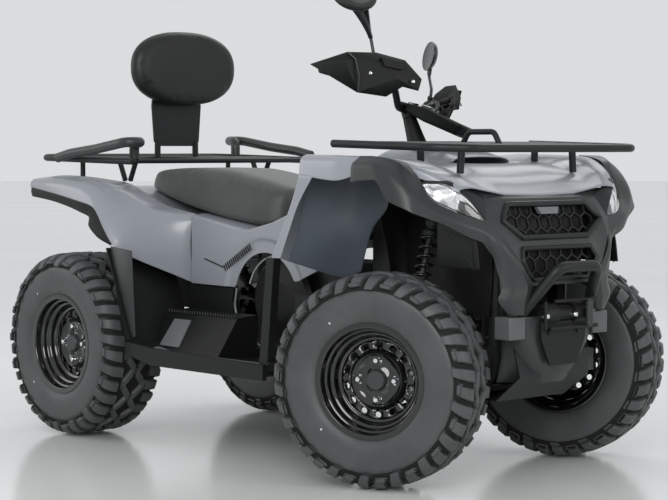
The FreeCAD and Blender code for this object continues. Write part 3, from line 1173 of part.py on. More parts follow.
def rack(loop_shares, bar_shares, supports, name, extra=()):
    loop = [spot(share) for share in loop_shares]
    left = [Vector(p.x, -p.y, p.z) for p in loop[::-1]]
    tube_radius, bar_radius = size("rack_tube_radius"), size("rack_bar_radius")
    pieces = [tube(loop + left, tube_radius, size("rack_bend"))]
    for share in bar_shares:
        x = along(share)
        at_bar = side_point(loop, x)
        pieces.append(bar(at_bar, Vector(at_bar.x, -at_bar.y, at_bar.z), bar_radius, int(size("thin_flats"))))
    for top, foot in supports:
        right = bar(spot(top), spot(foot), size("post_radius"), int(size("thin_flats")))
        pieces += [right, mirrored(right)]
    for shares in extra:
        pieces.append(tube([spot(share) for share in shares], bar_radius, size("bar_bend")))
    keep(name, pieces[0].multiFuse(pieces[1:]).removeSplitter())


def side_point(loop, x):
    start, end = loop[0], loop[1]
    return start + (end - start) * ((x - start.x) / (end.x - start.x))


def add_racks():
    rack(FRONT_RACK_SHARES, FRONT_RACK_BAR_SHARES, FRONT_RACK_POST_SHARES, "front_rack", (RACK_HOOP_SHARES,))
    rear = list(REAR_RACK_SHARES)
    rack(rear, REAR_RACK_BAR_SHARES, REAR_RACK_STRUT_SHARES, "rear_rack")
    add_grab_bars([spot(share) for share in rear])


def add_grab_bars(loop):
    """One and the same bar on both sides: the left one is turned half round, so its high end is at the rear."""
    points = [spot(share) for share in GRAB_BAR_SHARES]
    middle = along(GRAB_TURN_SHARE)
    foot = points[-1]
    bar_top = size("rack_bar_radius") * math.cos(math.pi / int(size("thin_flats"))) + GAP
    foot.z = side_point(loop, foot.x).z + bar_top
    right = tube(points, size("grab_tube_radius"), size("grab_bend"))
    left = right.copy()
    left.rotate(Vector(middle, 0, 0), UP, HALF_TURN)
    left.translate(UP * (side_point(loop, middle * 2 - foot.x).z + bar_top - foot.z))
    keep("grab_bars", Part.Compound([right, left]))


HALF_TURN = 180


BACKREST_PLATE_SHARES = ((-0.11, -0.135), (-0.1, -0.262), (-0.07, -0.278), (0.07, -0.278), (0.1, -0.262), (0.11, -0.135),
                         (0.095, 0.03), (-0.095, 0.03))
BACKREST_POST_SHARE = (-0.038, -0.085, 1.01)


def add_backrest_support():
    """A plate behind the cushion, on two posts that stand on a bar of the rack."""
    centre, wall = spot(BACKREST_SHARE), size("support_wall")
    x = centre.x - size("backrest_depth") / 2 - GAP - wall
    corners = [Vector(x, across(y), centre.z + level(z)) for y, z in BACKREST_PLATE_SHARES]
    plate = prism(corners, FORWARD * wall)
    top = spot(BACKREST_POST_SHARE)
    bar_top = size("rack_bar_radius") * math.cos(math.pi / int(size("thin_flats")))
    foot = Vector(top.x, top.y, side_point([spot(s) for s in REAR_RACK_SHARES], top.x).z + bar_top + GAP)
    post = bar(foot, top, size("post_radius"))
    keep("backrest_support", plate.multiFuse([post, mirrored(post)]))


BUMPER_SHARES = ((1.203, -0.146, 0.478), (1.223, -0.138, 0.52), (1.279, -0.084, 0.642))
WINCH_PLATE_SHARES = ((-0.11, 0.48), (-0.11, 0.35), (0.11, 0.35), (0.11, 0.48))
SKID_SHARES = ((1.184, -0.165, 0.492), (1.218, -0.15, 0.32), (1.151, -0.15, 0.242), (0.979, -0.15, 0.242))
BELLY_FRONT_SHARE, BELLY_REAR_SHARE = 0.938, 0.075


def skid_face(z):
    """Just in front of the upper skid plate, at a height."""
    start, end = (spot(share) for share in SKID_SHARES[:2])
    return start.x + (end.x - start.x) * (z - start.z) / (end.z - start.z) + GAP


def add_front_guards():
    right, radius = [spot(share) for share in BUMPER_SHARES], size("bumper_tube_radius")
    right.insert(0, Vector(skid_face(right[0].z - radius), right[0].y, right[0].z))
    left = [Vector(p.x, -p.y, p.z) for p in right[::-1]]
    keep("bumper", tube(right + left, radius, size("bumper_bend")))
    x = along(WINCH_X_SHARE)
    plate = prism([Vector(x, across(y), level(z)) for y, z in WINCH_PLATE_SHARES], FORWARD * size("winch_plate_wall"))
    z = level((WINCH_PLATE_SHARES[0][1] + WINCH_PLATE_SHARES[1][1]) / 2)
    for side in (-1, 1):
        bolt = Vector(x - OVERRUN, size("fairlead_bolt_spacing") / 2 * side, z)
        plate = plate.cut(rod(bolt, bolt + FORWARD * (size("winch_plate_wall") + OVERRUN * 2), size("fairlead_bolt_radius")))
    slot = block(Vector(x - OVERRUN, -size("fairlead_slot_half"), z - size("winch_plate_wall") * 3),
                 Vector(x + size("winch_plate_wall") + OVERRUN, size("fairlead_slot_half"), z + size("winch_plate_wall") * 3))
    plate = plate.cut(slot)
    low, high = level(BRACKET_SHARES[0][1]), level(BRACKET_SHARES[1][1])
    near, far = across(BRACKET_SHARES[0][0]), across(BRACKET_SHARES[1][0])
    bracket = block(Vector(skid_face(low), near, low), Vector(x, far, high))
    keep("winch_plate", plate.multiFuse([bracket, mirrored(bracket)]).removeSplitter())


WINCH_X_SHARE, BRACKET_SHARES = 1.236, ((-0.106, 0.392), (-0.098, 0.438))


def add_skids():
    wall = size("skid_wall")
    line = [spot(share) for share in SKID_SHARES]
    half = across(SKID_HALF_SHARE)
    flat = [Vector(p.x, half, p.z) for p in line]
    for corner in flat[2:]:
        corner.z = rail(LOWER_RAIL_SHARES)[1].z - size("frame_tube_radius") - GAP - wall
    under = offset_line(flat, wall, LEFT)
    front = prism(flat + under[::-1], LEFT * half * -2)
    top = rail(LOWER_RAIL_SHARES)[1].z - size("frame_tube_radius") - GAP
    belly = block(Vector(along(BELLY_REAR_SHARE), half, top - wall), Vector(along(BELLY_FRONT_SHARE), -half, top))
    keep("skid_plates", Part.Compound([front, belly]))


SKID_HALF_SHARE = -0.15
MUFFLER_SHARE = (-0.175, 0.6)


def add_rear():
    length, radius = size("muffler_length"), size("muffler_radius")
    beside_rail = size("frame_half_width") + size("frame_tube_radius") + GAP + radius
    start = Vector(along(MUFFLER_SHARE[0]), beside_rail, level(MUFFLER_SHARE[1]))
    edge, pipe = radius * MUFFLER_EDGE_SHARE, radius * MUFFLER_PIPE_SHARE
    line = [(pipe, -radius), (pipe, 0), (radius - edge, 0), (radius, edge), (radius, length - edge), (radius - edge, length)]
    keep("muffler", lathe(line, int(size("round_flats")), Placement(start, Rotation(UP, FORWARD))))
    x, z = along(HITCH_SHARE[0]), level(HITCH_SHARE[1])
    half, plate = size("hitch_width") / 2, size("hitch_plate")
    tongue = block(Vector(x, -half, z - plate), Vector(x + size("hitch_length"), half, z))
    upright = block(Vector(x + size("hitch_length"), -size("frame_half_width") + size("frame_tube_radius") + GAP, z - plate * 4),
                    Vector(x + size("hitch_length") + plate, size("frame_half_width") - size("frame_tube_radius") - GAP, z + plate * 4))
    bore = rod(Vector(x + half, 0, z - plate * 2), Vector(x + half, 0, z + plate), size("hitch_bore_radius"))
    keep("hitch", tongue.fuse(upright).cut(bore))


HITCH_SHARE = (-0.147, 0.3)
MUFFLER_EDGE_SHARE, MUFFLER_PIPE_SHARE = 0.25, 0.33


def finish():
    """Checks every object and sub-part, then writes one STEP file for each sub-part."""
    doc.recompute()
    for item in doc.Objects:
        if any(state in ("Invalid", "Error") for state in item.State):
            raise RuntimeError(f"{item.Label} failed: {item.State}")
    os.makedirs("parts", exist_ok=True)
    for node in NODES:
        shape = node.Shape
        if shape.isNull() or not shape.isValid() or not shape.Solids:
            raise RuntimeError(f"{node.Label} has no sound shape")
    for node in NODES:
        node.Shape.exportStep(f"parts/{node.Label}.step")


add_wheels()
add_knuckles()
add_tie_rods()
add_steering()
add_frame()
add_suspension()
add_drive()
add_bodywork()
add_console()
add_side_panels()
add_footwells()
add_lamps()
add_front()
add_seat()
add_backrest_support()
add_racks()
add_front_guards()
add_skids()
add_rear()
finish()
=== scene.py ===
"""A four-wheeled utility quad bike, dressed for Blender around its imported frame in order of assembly."""

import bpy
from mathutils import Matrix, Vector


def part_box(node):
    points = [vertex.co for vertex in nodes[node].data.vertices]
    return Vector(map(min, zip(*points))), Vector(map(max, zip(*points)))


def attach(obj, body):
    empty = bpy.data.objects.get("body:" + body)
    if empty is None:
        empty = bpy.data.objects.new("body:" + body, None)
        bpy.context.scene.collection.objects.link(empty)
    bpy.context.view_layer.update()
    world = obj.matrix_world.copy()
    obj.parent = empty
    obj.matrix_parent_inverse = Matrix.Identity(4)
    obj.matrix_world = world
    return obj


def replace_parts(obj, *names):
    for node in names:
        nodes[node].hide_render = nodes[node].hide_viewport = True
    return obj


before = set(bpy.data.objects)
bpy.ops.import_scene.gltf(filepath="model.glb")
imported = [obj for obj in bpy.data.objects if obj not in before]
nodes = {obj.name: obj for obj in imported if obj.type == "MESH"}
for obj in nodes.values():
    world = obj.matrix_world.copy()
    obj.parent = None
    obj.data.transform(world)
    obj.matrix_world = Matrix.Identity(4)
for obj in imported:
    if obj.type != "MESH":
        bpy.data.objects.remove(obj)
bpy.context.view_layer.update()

import math

import bmesh
import bpy
import numpy as np


# The studio: a plain pale floor under an even pale sky, four soft lamps and the camera that took the
# photograph, 6.5 m off the front right wheel at hip height.
AXLES_MIDDLE = 0.05          # metres from the middle between the axles forward to the row frame's origin


def from_axles(points):
    """Millimetres from the middle between the axles, x forward, y left, z up, turned to metres in the row
    frame."""
    return np.asarray(points, float) / 1000 - (AXLES_MIDDLE, 0, 0)


def sheet_faces(rows, columns, round_rows=False, round_columns=False):
    """The four-cornered faces of a grid of points; a round direction joins its last line to its first."""
    r, c = np.meshgrid(np.arange(rows - (not round_rows)), np.arange(columns - (not round_columns)),
                       indexing="ij")
    r_next, c_next = (r + 1) % rows, (c + 1) % columns
    return np.stack([r * columns + c, r * columns + c_next, r_next * columns + c_next, r_next * columns + c],
                    -1).reshape(-1, 4)


def unit(vectors):
    """A vector, or each of several, at length one."""
    return vectors / np.linalg.norm(vectors, axis=-1, keepdims=True)


def circle_angles(count):
    """The angles of points spread evenly round a circle."""
    return np.linspace(0, 2 * np.pi, count, endpoint=False)


def make_mesh(name, points, faces, finish, smooth):
    """A mesh object at the origin; edges sharper than smooth degrees stay crisp."""
    mesh = bpy.data.meshes.new(name)
    mesh.from_pydata(np.asarray(points, float).reshape(-1, 3).tolist(), [],
                     [list(map(int, f)) for f in faces])
    piece = bpy.data.objects.new(name, mesh)
    bpy.context.scene.collection.objects.link(piece)
    mesh.materials.append(finish)
    if smooth:
        mesh.shade_smooth()
        mesh.set_sharp_from_angle(angle=math.radians(smooth))
    return piece


def linear(hex_colour):
    """An sRGB hex colour as the linear values that a shader takes."""
    srgb = np.array([int(hex_colour[i:i + 2], 16) for i in (1, 3, 5)]) / 255
    return (*np.where(srgb <= 0.04045, srgb / 12.92, ((srgb + 0.055) / 1.055) ** 2.4), 1.0)


def add_node(material, kind, settings=None, **links):
    """One shader node: settings fill its sockets, links join its sockets to other nodes' outputs."""
    tree = material.node_tree
    node = tree.nodes.new("ShaderNode" + kind)
    for key, value in (settings or {}).items():
        node.inputs[key].default_value = value
    for key, source in links.items():
        tree.links.new(source, node.inputs[key])
    return node


def new_finish(name, shader):
    """A material whose one Principled shader has these settings; it comes back with its shader."""
    material = bpy.data.materials.new(name)
    material.use_nodes = True
    principled = material.node_tree.nodes["Principled BSDF"]
    for key, value in shader.items():
        principled.inputs[key].default_value = value
    return material, principled


def grained(name, colours, shader, grain, depth, patch=4.0):
    """A finish whose colour drifts between two tones over patch per metre, with a fine relief of grain per
    metre."""
    material, principled = new_finish(name, shader)
    place = add_node(material, "TexCoord").outputs["Object"]
    drift = add_node(material, "TexNoise", {"Scale": patch, "Detail": 4.0, "Roughness": 0.6}, Vector=place)
    tones = add_node(material, "ValToRGB", None, Fac=drift.outputs["Fac"])
    for stop, colour, at in zip(tones.color_ramp.elements, colours, (0.25, 0.75)):
        stop.color, stop.position = linear(colour), at
    relief = add_node(material, "TexNoise", {"Scale": grain, "Detail": 3.0, "Roughness": 0.55}, Vector=place)
    bump = add_node(material, "Bump", {"Strength": depth, "Distance": 0.001}, Height=relief.outputs["Fac"])
    links = material.node_tree.links
    links.new(tones.outputs["Color"], principled.inputs["Base Color"])
    links.new(bump.outputs["Normal"], principled.inputs["Normal"])
    return material


# Sealed, polished concrete: slight clouding and a soft mirror of what stands on it.
FLOOR_FINISH = grained("sealed_concrete", ("#dadddb", "#e2e4e2"), {"Roughness": 0.16}, 60, 0.02, patch=0.8)
REACH = 60.0                 # half the floor's side, and how far the camera sees
FLOOR_DROP = 0.0005          # the floor lies this far below the tyres' lowest points
# The camera's place in metres from between the axles, its heading and tilt, its lens and sensor in
# millimetres and its shift, fitted to the outlines of the wheels in the photograph
CAMERA_PLACE = (4.893, -4.302, 0.982)
YAW, PITCH = math.radians(138.26), math.radians(-2.92)
LENS, SENSOR, SHIFT = 105.49, 36.0, -0.0019
look = np.array([math.cos(YAW), math.sin(YAW), 0])
beside = np.array([-look[1], look[0], 0])
floor_corners = [look * a * REACH + beside * b * REACH - (0, 0, FLOOR_DROP)
                 for a, b in ((-1, -1), (-1, 1), (1, 1), (1, -1))]
floor = make_mesh("floor", floor_corners, [(0, 3, 2, 1)], FLOOR_FINISH, 0)

world = bpy.data.worlds.new("studio")
world.use_nodes = True
sky = world.node_tree.nodes["Background"].inputs
sky["Color"].default_value = linear("#f4f6f8")
sky["Strength"].default_value = 0.78
bpy.context.scene.world = world
# Each lamp's place and width in metres, and its power in watts; all aim at the engine
LAMPS = {"key": ((3.9, -4.6, 2.9), 3.2, 175), "front": ((5.4, 1.6, 1.9), 2.4, 42),
         "rear": ((-4.2, -3.2, 2.2), 2.6, 34), "back": ((-1.6, 3.2, 4.4), 3.4, 45)}
LAMP_AIM = np.array([0, 0, 0.5])
for name, (place, size, power) in LAMPS.items():
    lamp = bpy.data.lights.new(name, "AREA")
    lamp.shape, lamp.size, lamp.energy = "DISK", size, power
    holder = bpy.data.objects.new(name, lamp)
    holder.location = place
    x, y, z = unit(LAMP_AIM - np.array(place))
    holder.rotation_euler = (math.acos(-z), 0, math.atan2(y, x) - math.pi / 2)
    bpy.context.scene.collection.objects.link(holder)

view = bpy.data.cameras.new("camera")
view.lens, view.sensor_width, view.shift_y, view.clip_end = LENS, SENSOR, SHIFT, REACH
camera = bpy.data.objects.new("camera", view)
camera.location = (CAMERA_PLACE[0] - AXLES_MIDDLE, *CAMERA_PLACE[1:])
camera.rotation_euler = (math.pi / 2 + PITCH, 0, YAW - math.pi / 2)
bpy.context.scene.collection.objects.link(camera)
bpy.context.scene.camera = camera
bpy.context.scene.view_settings.view_transform = "Standard"


# The frame, arms and brackets: welded steel tube under a satin black powder coat, seen as orange-peel pimples
# of about half a millimetre. Their CAD solids stay, with the same coat.
POWDER_COAT = grained("powder_coated_steel", ("#151617", "#1d1f20"),
                      {"Roughness": 0.42, "Specular IOR Level": 0.3}, 900, 0.12)


def finish_nodes(finish, *names):
    """CAD solids that stay as they are, each given its finish."""
    for name in names:
        nodes[name].data.materials.clear()
        nodes[name].data.materials.append(finish)


finish_nodes(POWDER_COAT, "frame_lower_rails", "frame_upper_rails", "frame_members", "front_arms",
             "rear_arms", "shock_brackets", "backrest_support", "steering_stem", "tie_rod_right",
             "tie_rod_left", "hitch", "winch_plate", "skid_plates")

# The knuckles are sand-cast aluminium alloy, bare, pale and dull with a coarse skin; the engine, gear cases
# and radiator are cast too, under dark paint. The brake discs and the muffler's can are ground steel.
CAST_ALLOY = grained("cast_aluminium", ("#8d8f90", "#a7a9aa"), {"Metallic": 0.85, "Roughness": 0.38}, 420,
                     0.35)
DARK_ALLOY = grained("painted_cast_alloy", ("#232425", "#303233"), {"Roughness": 0.55}, 420, 0.3)
GROUND_STEEL = grained("ground_steel", ("#9b9d9e", "#b4b6b7"), {"Metallic": 1.0, "Roughness": 0.28}, 300,
                       0.1)
finish_nodes(CAST_ALLOY, "knuckle_right", "knuckle_left")
finish_nodes(DARK_ALLOY, "engine", "gear_cases", "radiator")
finish_nodes(GROUND_STEEL, "brake_disc_right", "brake_disc_left", "muffler")

# The drive shafts: steel bars with rubber boots over their joints, matt and slightly dusty
BOOT_RUBBER = grained("boot_rubber", ("#171818", "#202121"), {"Roughness": 0.7}, 500, 0.2)
finish_nodes(BOOT_RUBBER, "drive_shafts")


# The tyres: 25-inch cross-country tyres of moulded black rubber, with a plain sidewall and deep lugs that
# wrap over the shoulder, a long and a short one by turns, and two staggered rows of blocks along the
# middle.
# Moulded rubber with a low sheen; on sidewalls and lugs its colour is lightened as a painted reflection of
# the floor, and in the grooves between them it is darker and duller as painted shade
TYRE_RUBBER_AND_REFLECTION = grained("tyre_rubber_painted_reflection", ("#3a3b3c", "#4a4b4c"), {"Roughness": 0.5}, 260, 0.25,
                      patch=9.0)
GROOVE_PAINTED_SHADE = grained("groove_rubber_painted_shade", ("#101111", "#181919"),
                        {"Roughness": 0.75, "Specular IOR Level": 0.3}, 260, 0.2)
TYRE_STEPS = 180
LUG_PAIRS = 18
DEGREE = math.radians(1)
# Place on the section: share of the half width, radius in mm, from the outer bead to the middle of the crown
SIDEWALL = np.array([(0.80, 153), (0.83, 166), (0.90, 173), (0.965, 187), (0.995, 208), (1.0, 232),
                     (0.985, 256), (0.955, 263), (0.94, 272), (0.88, 286), (0.75, 296), (0.5, 299.5),
                     (0.25, 300.5), (0.0, 301)])
# The carcass's inner wall, from bead to bead in the same terms
INNER_WALL = np.array([(-0.74, 160), (-0.86, 200), (-0.84, 255), (-0.5, 284), (0, 287), (0.5, 284),
                       (0.84, 255), (0.86, 200), (0.74, 160)])
# The long and the short shoulder lug: radius where it starts on the sidewall, share of the half width
# there, height, place on the round in degrees and share of the half width where it ends on the crown
SHOULDER_LUGS = ((266, 0.965, 12.0, 0, 0.44), (279, 0.955, 12.5, 10, 0.52))
# The middle blocks: shares of the half width where they start and end, lean and place on the round in degrees
CROWN_BLOCKS = ((0.40, 0.08, -9, 4), (0.34, 0.03, 8, 14))


def through(points, fineness):
    """A smooth line through points: between neighbours a cubic whose slope at each point is their limited
    mean."""
    points = np.asarray(points, float)
    step = np.diff(points, axis=0)
    before, after = step[:-1], step[1:]
    slope = np.zeros_like(points)
    same = before * after > 0
    slope[1:-1] = np.where(same, 2 * before * after / np.where(same, before + after, 1), 0)
    slope[0], slope[-1] = step[0], step[-1]
    t = np.linspace(0, 1, fineness, endpoint=False).reshape(1, -1, *([1] * (points.ndim - 1)))
    p0, p1, m0, m1 = (a[:, None] for a in (points[:-1], points[1:], slope[:-1], slope[1:]))
    curve = ((2 * t ** 3 - 3 * t ** 2 + 1) * p0 + (t ** 3 - 2 * t ** 2 + t) * m0
             + (3 * t ** 2 - 2 * t ** 3) * p1 + (t ** 3 - t ** 2) * m1)
    return np.concatenate([curve.reshape(-1, *points.shape[1:]), points[-1:]])


def turned(line, steps):
    """A section carried round an axle: line holds place along the axle and radius; the axle is +Y."""
    angle = circle_angles(steps)[:, None]
    along, radius = line[:, 0], line[:, 1]
    return np.stack([radius * np.sin(angle), along + 0 * angle, radius * np.cos(angle)], -1)


def wheel_to_frame(points, hub, turn, side):
    """Wheel millimetres, outward +Y, set at a hub of the row frame: mirrored for the right side, then
    turned about Z."""
    points = np.asarray(points, float) * (1, side, 1) / 1000
    c, s = math.cos(turn), math.sin(turn)
    x, y, z = np.moveaxis(points, -1, 0)
    return np.stack([x * c - y * s, x * s + y * c, z], -1) + hub


def lug_bars(path, half_angles, lean, height, phase):
    """Chamfered bars on the tyre, one for each pair of lugs: path holds place along the axle and radius of
    the carcass under the bar; the bar is half_angles wide, leans by lean radians from end to end and stands
    height proud, less at its ends."""
    steps = len(path)
    share = np.linspace(0, 1, steps)
    tangent = np.gradient(path, axis=0)
    normal = unit(np.stack([-tangent[:, 1], tangent[:, 0]], -1))
    normal *= np.sign(normal[:, 1:2] + 0.4 * normal[:, 0:1])
    # across the bar: foot, waist and chamfered edge on both sides
    widths = np.array([-1.12, -1.0, -0.84, 0.84, 1.0, 1.12])
    lifts = np.array([-2.0, height - 2.5, height, height, height - 2.5, -2.0])
    fade = np.interp(share, (0, 0.06, 0.94, 1), (0.9, 1, 1, 0.85))
    place = path[:, None] + normal[:, None] * (lifts[None, :, None] * fade[:, None, None])
    angle = lean * (share - 0.5)[:, None] + widths[None] * np.asarray(half_angles).reshape(-1, 1)
    a = angle[None] + phase + circle_angles(LUG_PAIRS)[:, None, None]
    along, radius = place[None, ..., 0], place[None, ..., 1]
    points = np.stack([radius * np.sin(a), along + 0 * a, radius * np.cos(a)], -1)
    bar = sheet_faces(steps, 6, round_columns=True)
    caps = np.array([[0, 1, 4, 5], [1, 2, 3, 4]])
    caps = np.concatenate([caps, (caps + (steps - 1) * 6)[:, ::-1]])
    faces = np.concatenate([bar[:, ::-1], caps])[None] + (np.arange(LUG_PAIRS) * steps * 6)[:, None, None]
    return points.reshape(-1, 3), faces.reshape(-1, 4)


def joined(parts):
    """Several (points, faces) as one."""
    start, points, faces = 0, [], []
    for p, f in parts:
        p = np.asarray(p, float).reshape(-1, 3)
        points.append(p)
        faces += [tuple(np.asarray(face) + start) for face in f]
        start += len(p)
    return np.concatenate(points), faces


def tyre_parts(width):
    """The carcass with its inner wall as one closed turned form, then every lug; and for each face 1 where
    it is the carcass's crown between the lugs, which takes the darker rubber as painted shade, else 0."""
    half = width / 2
    outer = through(SIDEWALL * (half, 1), 3)
    section = np.concatenate([outer, outer[-2::-1] * (-1, 1), INNER_WALL * (half, 1)])
    parts = [(turned(section, TYRE_STEPS), sheet_faces(TYRE_STEPS, len(section), True, True))]
    for side in (1, -1):
        for reach, flank, height, phase, crown_end in SHOULDER_LUGS:
            path = [(0.93, reach), (flank, reach + 4), (0.945, 277), (0.87, 289), (0.74, 296.5),
                    (crown_end, 299.5)]
            path = through(np.array(path) * (half, 1), 2) * (side, 1)
            wide = np.interp(np.linspace(0, 1, len(path)), (0, 0.4, 1), (2.5, 3.0, 3.3)) * DEGREE
            parts.append(lug_bars(path, wide, 5 * DEGREE * side, height, (phase + side * 2.5) * DEGREE))
        for start, end, lean, phase in CROWN_BLOCKS:
            path = np.stack([np.linspace(start, end, 4) * half * side, np.full(4, 300.0)], -1)
            wide = np.full(4, 3.1 * DEGREE)
            parts.append(lug_bars(path, wide, lean * DEGREE * side, 12.6, (phase + side * 5) * DEGREE))
    points, faces = joined(parts)
    crown = np.zeros(len(faces), dtype=np.int32)
    carcass = TYRE_STEPS * len(section)
    crown[:carcass] = (section[:, 1] > 262)[np.arange(carcass) % len(section)]
    return points, faces, crown


# The rims: pressed steel under gloss black paint, a rolled lip, two steps down to the well, a disc with a
# ring of round holes and a four-lobed middle; four chromed wheel nuts and a satin centre cap.
# Gloss black enamel with a faint orange peel under its clear coat
RIM_PAINT, rim_shader = new_finish("gloss_black_paint", {"Base Color": linear("#0a0b0c"), "Roughness": 0.12,
                                                         "Coat Weight": 0.6, "Coat Roughness": 0.05})
paint_place = add_node(RIM_PAINT, "TexCoord").outputs["Object"]
peel = add_node(RIM_PAINT, "TexNoise", {"Scale": 220.0, "Detail": 2.0}, Vector=paint_place)
dimples = add_node(RIM_PAINT, "Bump", {"Strength": 0.04, "Distance": 0.001}, Height=peel.outputs["Fac"])
RIM_PAINT.node_tree.links.new(dimples.outputs["Normal"], rim_shader.inputs["Normal"])
# Bright chrome on nuts and small trim; the caps' satin black ABS, moulded with a light texture
CHROME = grained("chrome_plate", ("#d8dadb", "#e6e8e9"), {"Metallic": 1.0, "Roughness": 0.08}, 200, 0.02)
CAP_PLASTIC = grained("satin_black_abs", ("#2c2e2f", "#343637"), {"Roughness": 0.45}, 700, 0.1)
RIM_STEPS = 96
LIP_RECESS = 12              # the rim's lip lies this far inside the tyre's half width, in millimetres


def holed_band(inner, outer, inner_place, outer_place, count, hole):
    """A flat ring of sheet with round holes: every sector runs from a hole's edge out to the sector's own
    border."""
    half, corners = math.pi / count, 16
    box = np.array([(-half, outer), (half, outer), (half, inner), (-half, inner)])
    t = np.linspace(0, 1, corners // 4, endpoint=False)[:, None]
    border = np.concatenate([start + (end - start) * t for start, end in zip(box, np.roll(box, -1, 0))])
    middle = (inner + outer) / 2
    bearing = np.arctan2((border[:, 1] - middle), border[:, 0] * middle)
    edge = np.stack([np.cos(bearing) * hole / middle, middle + np.sin(bearing) * hole], -1)
    points, faces = [], []
    for k in range(count):
        for ring in (edge, border):
            angle, radius = ring[:, 0] + 2 * half * k, ring[:, 1]
            along = np.interp(radius, (inner, outer), (inner_place, outer_place))
            points.append(np.stack([radius * np.sin(angle), along, radius * np.cos(angle)], -1))
        faces.append(sheet_faces(2, corners, round_columns=True) + 2 * corners * k)
    return np.concatenate(points), np.concatenate(faces)


def closed_turn(line, steps):
    """A turned form that starts and ends on the axle, with a fan at each pole."""
    line = np.asarray(line, float)
    body = turned(line[1:-1], steps)
    count = body.shape[1]
    points = np.concatenate([body.reshape(-1, 3), [[0, line[0, 0], 0], [0, line[-1, 0], 0]]])
    ring = np.arange(steps) * count
    after = np.roll(ring, -1)
    faces = [tuple(f) for f in sheet_faces(steps, count, round_rows=True)]
    faces += [(steps * count, after[i], ring[i]) for i in range(steps)]
    faces += [(steps * count + 1, ring[i] + count - 1, after[i] + count - 1) for i in range(steps)]
    return points, faces


def rim_parts(half):
    """The rim's pressed sheet from the outer lip over both steps to the hub, and its barrel to the inner
    lip."""
    lip = [(-3, 153), (0.5, 156), (0, 170), (-5, 170.5), (-6, 163), (-9, 158), (-22, 153), (-26, 146),
           (-42, 141), (-47, 133), (-62, 129)]
    step_down = [(-62, 129), (-68, 124), (-70, 116)]
    face = np.concatenate([through(np.array(lip) + (half, 0), 3),
                           through(np.array(step_down) + (half, 0), 3)[1:]])
    parts = [(turned(face, RIM_STEPS), sheet_faces(RIM_STEPS, len(face), True))]
    parts.append(holed_band(88, 116, half - 68, half - 70, 14, 9))
    radii = np.array([88, 84, 80, 77, 74, 70, 64, 56, 48, 40, 34, 30, 22, 10])
    deep = np.array([-68, -62, -57, -55, -57, -62, -64, -65, -65, -64, -62, -60, -60, -60.0])
    angle = circle_angles(RIM_STEPS)[:, None]
    lobes = np.interp(radii, (34, 44, 60, 70), (0, 1, 1, 0)) * 3.2 * np.cos(4 * angle)
    hub = np.stack([radii * np.sin(angle), half + deep + lobes, radii * np.cos(angle)], -1)
    parts.append((hub, sheet_faces(RIM_STEPS, len(radii), True)))
    barrel = through(np.array([(half - 3, 153), (half - 20, 150), (half - 40, 140), (0, 134),
                               (-half * 0.55, 134), (20 - half, 150), (3 - half, 153), (-half, 170)]), 3)
    parts.append((turned(barrel, RIM_STEPS), sheet_faces(RIM_STEPS, len(barrel), True)[:, ::-1]))
    return joined(parts)


def nut_parts(half):
    """Four domed wheel nuts on the bolt circle, each on its conical seat, and two balance marks on the
    sidewall."""
    nut = closed_turn([(-1, 0), (-1, 15), (3, 14), (3.5, 9.5), (15, 9), (19, 6.5), (20.5, 0)], 12)
    mark = closed_turn([(-3, 0), (-3, 3.6), (0.6, 3.4), (0.8, 0)], 12)
    places = [(nut, 57, k * math.pi / 2, half - 66) for k in range(4)]
    places += [(mark, 204, angle, half + 11.6) for angle in (-0.62, -2.35)]
    return joined([(points + (radius * math.sin(angle), along, radius * math.cos(angle)), faces)
                   for (points, faces), radius, angle, along in places])


def outward(piece):
    """Faces turned to point out of the piece, after its doubled points are merged."""
    mesh = bmesh.new()
    mesh.from_mesh(piece.data)
    bmesh.ops.remove_doubles(mesh, verts=mesh.verts, dist=1e-5)
    bmesh.ops.recalc_face_normals(mesh, faces=mesh.faces)
    mesh.to_mesh(piece.data)
    mesh.free()
    return piece


def ease_edges(piece, width, segments):
    """Sharp edges rounded over."""
    rounding = piece.modifiers.new("edge", "BEVEL")
    rounding.width, rounding.segments, rounding.limit_method = width, segments, "ANGLE"


def thicken(piece, wall, bevel=0.0):
    """A sheet given its wall on the inner side, and its edges eased."""
    solid = piece.modifiers.new("wall", "SOLIDIFY")
    solid.thickness, solid.offset, solid.use_even_offset = wall, -1, False
    if bevel:
        ease_edges(piece, bevel, 2)
    return piece


def on_wheel(name, form, finish, crisp, hub, turn, side):
    """A piece made in wheel millimetres, set at its hub."""
    points, faces = form
    return outward(make_mesh(name, wheel_to_frame(points, hub, turn, side), faces, finish, crisp))


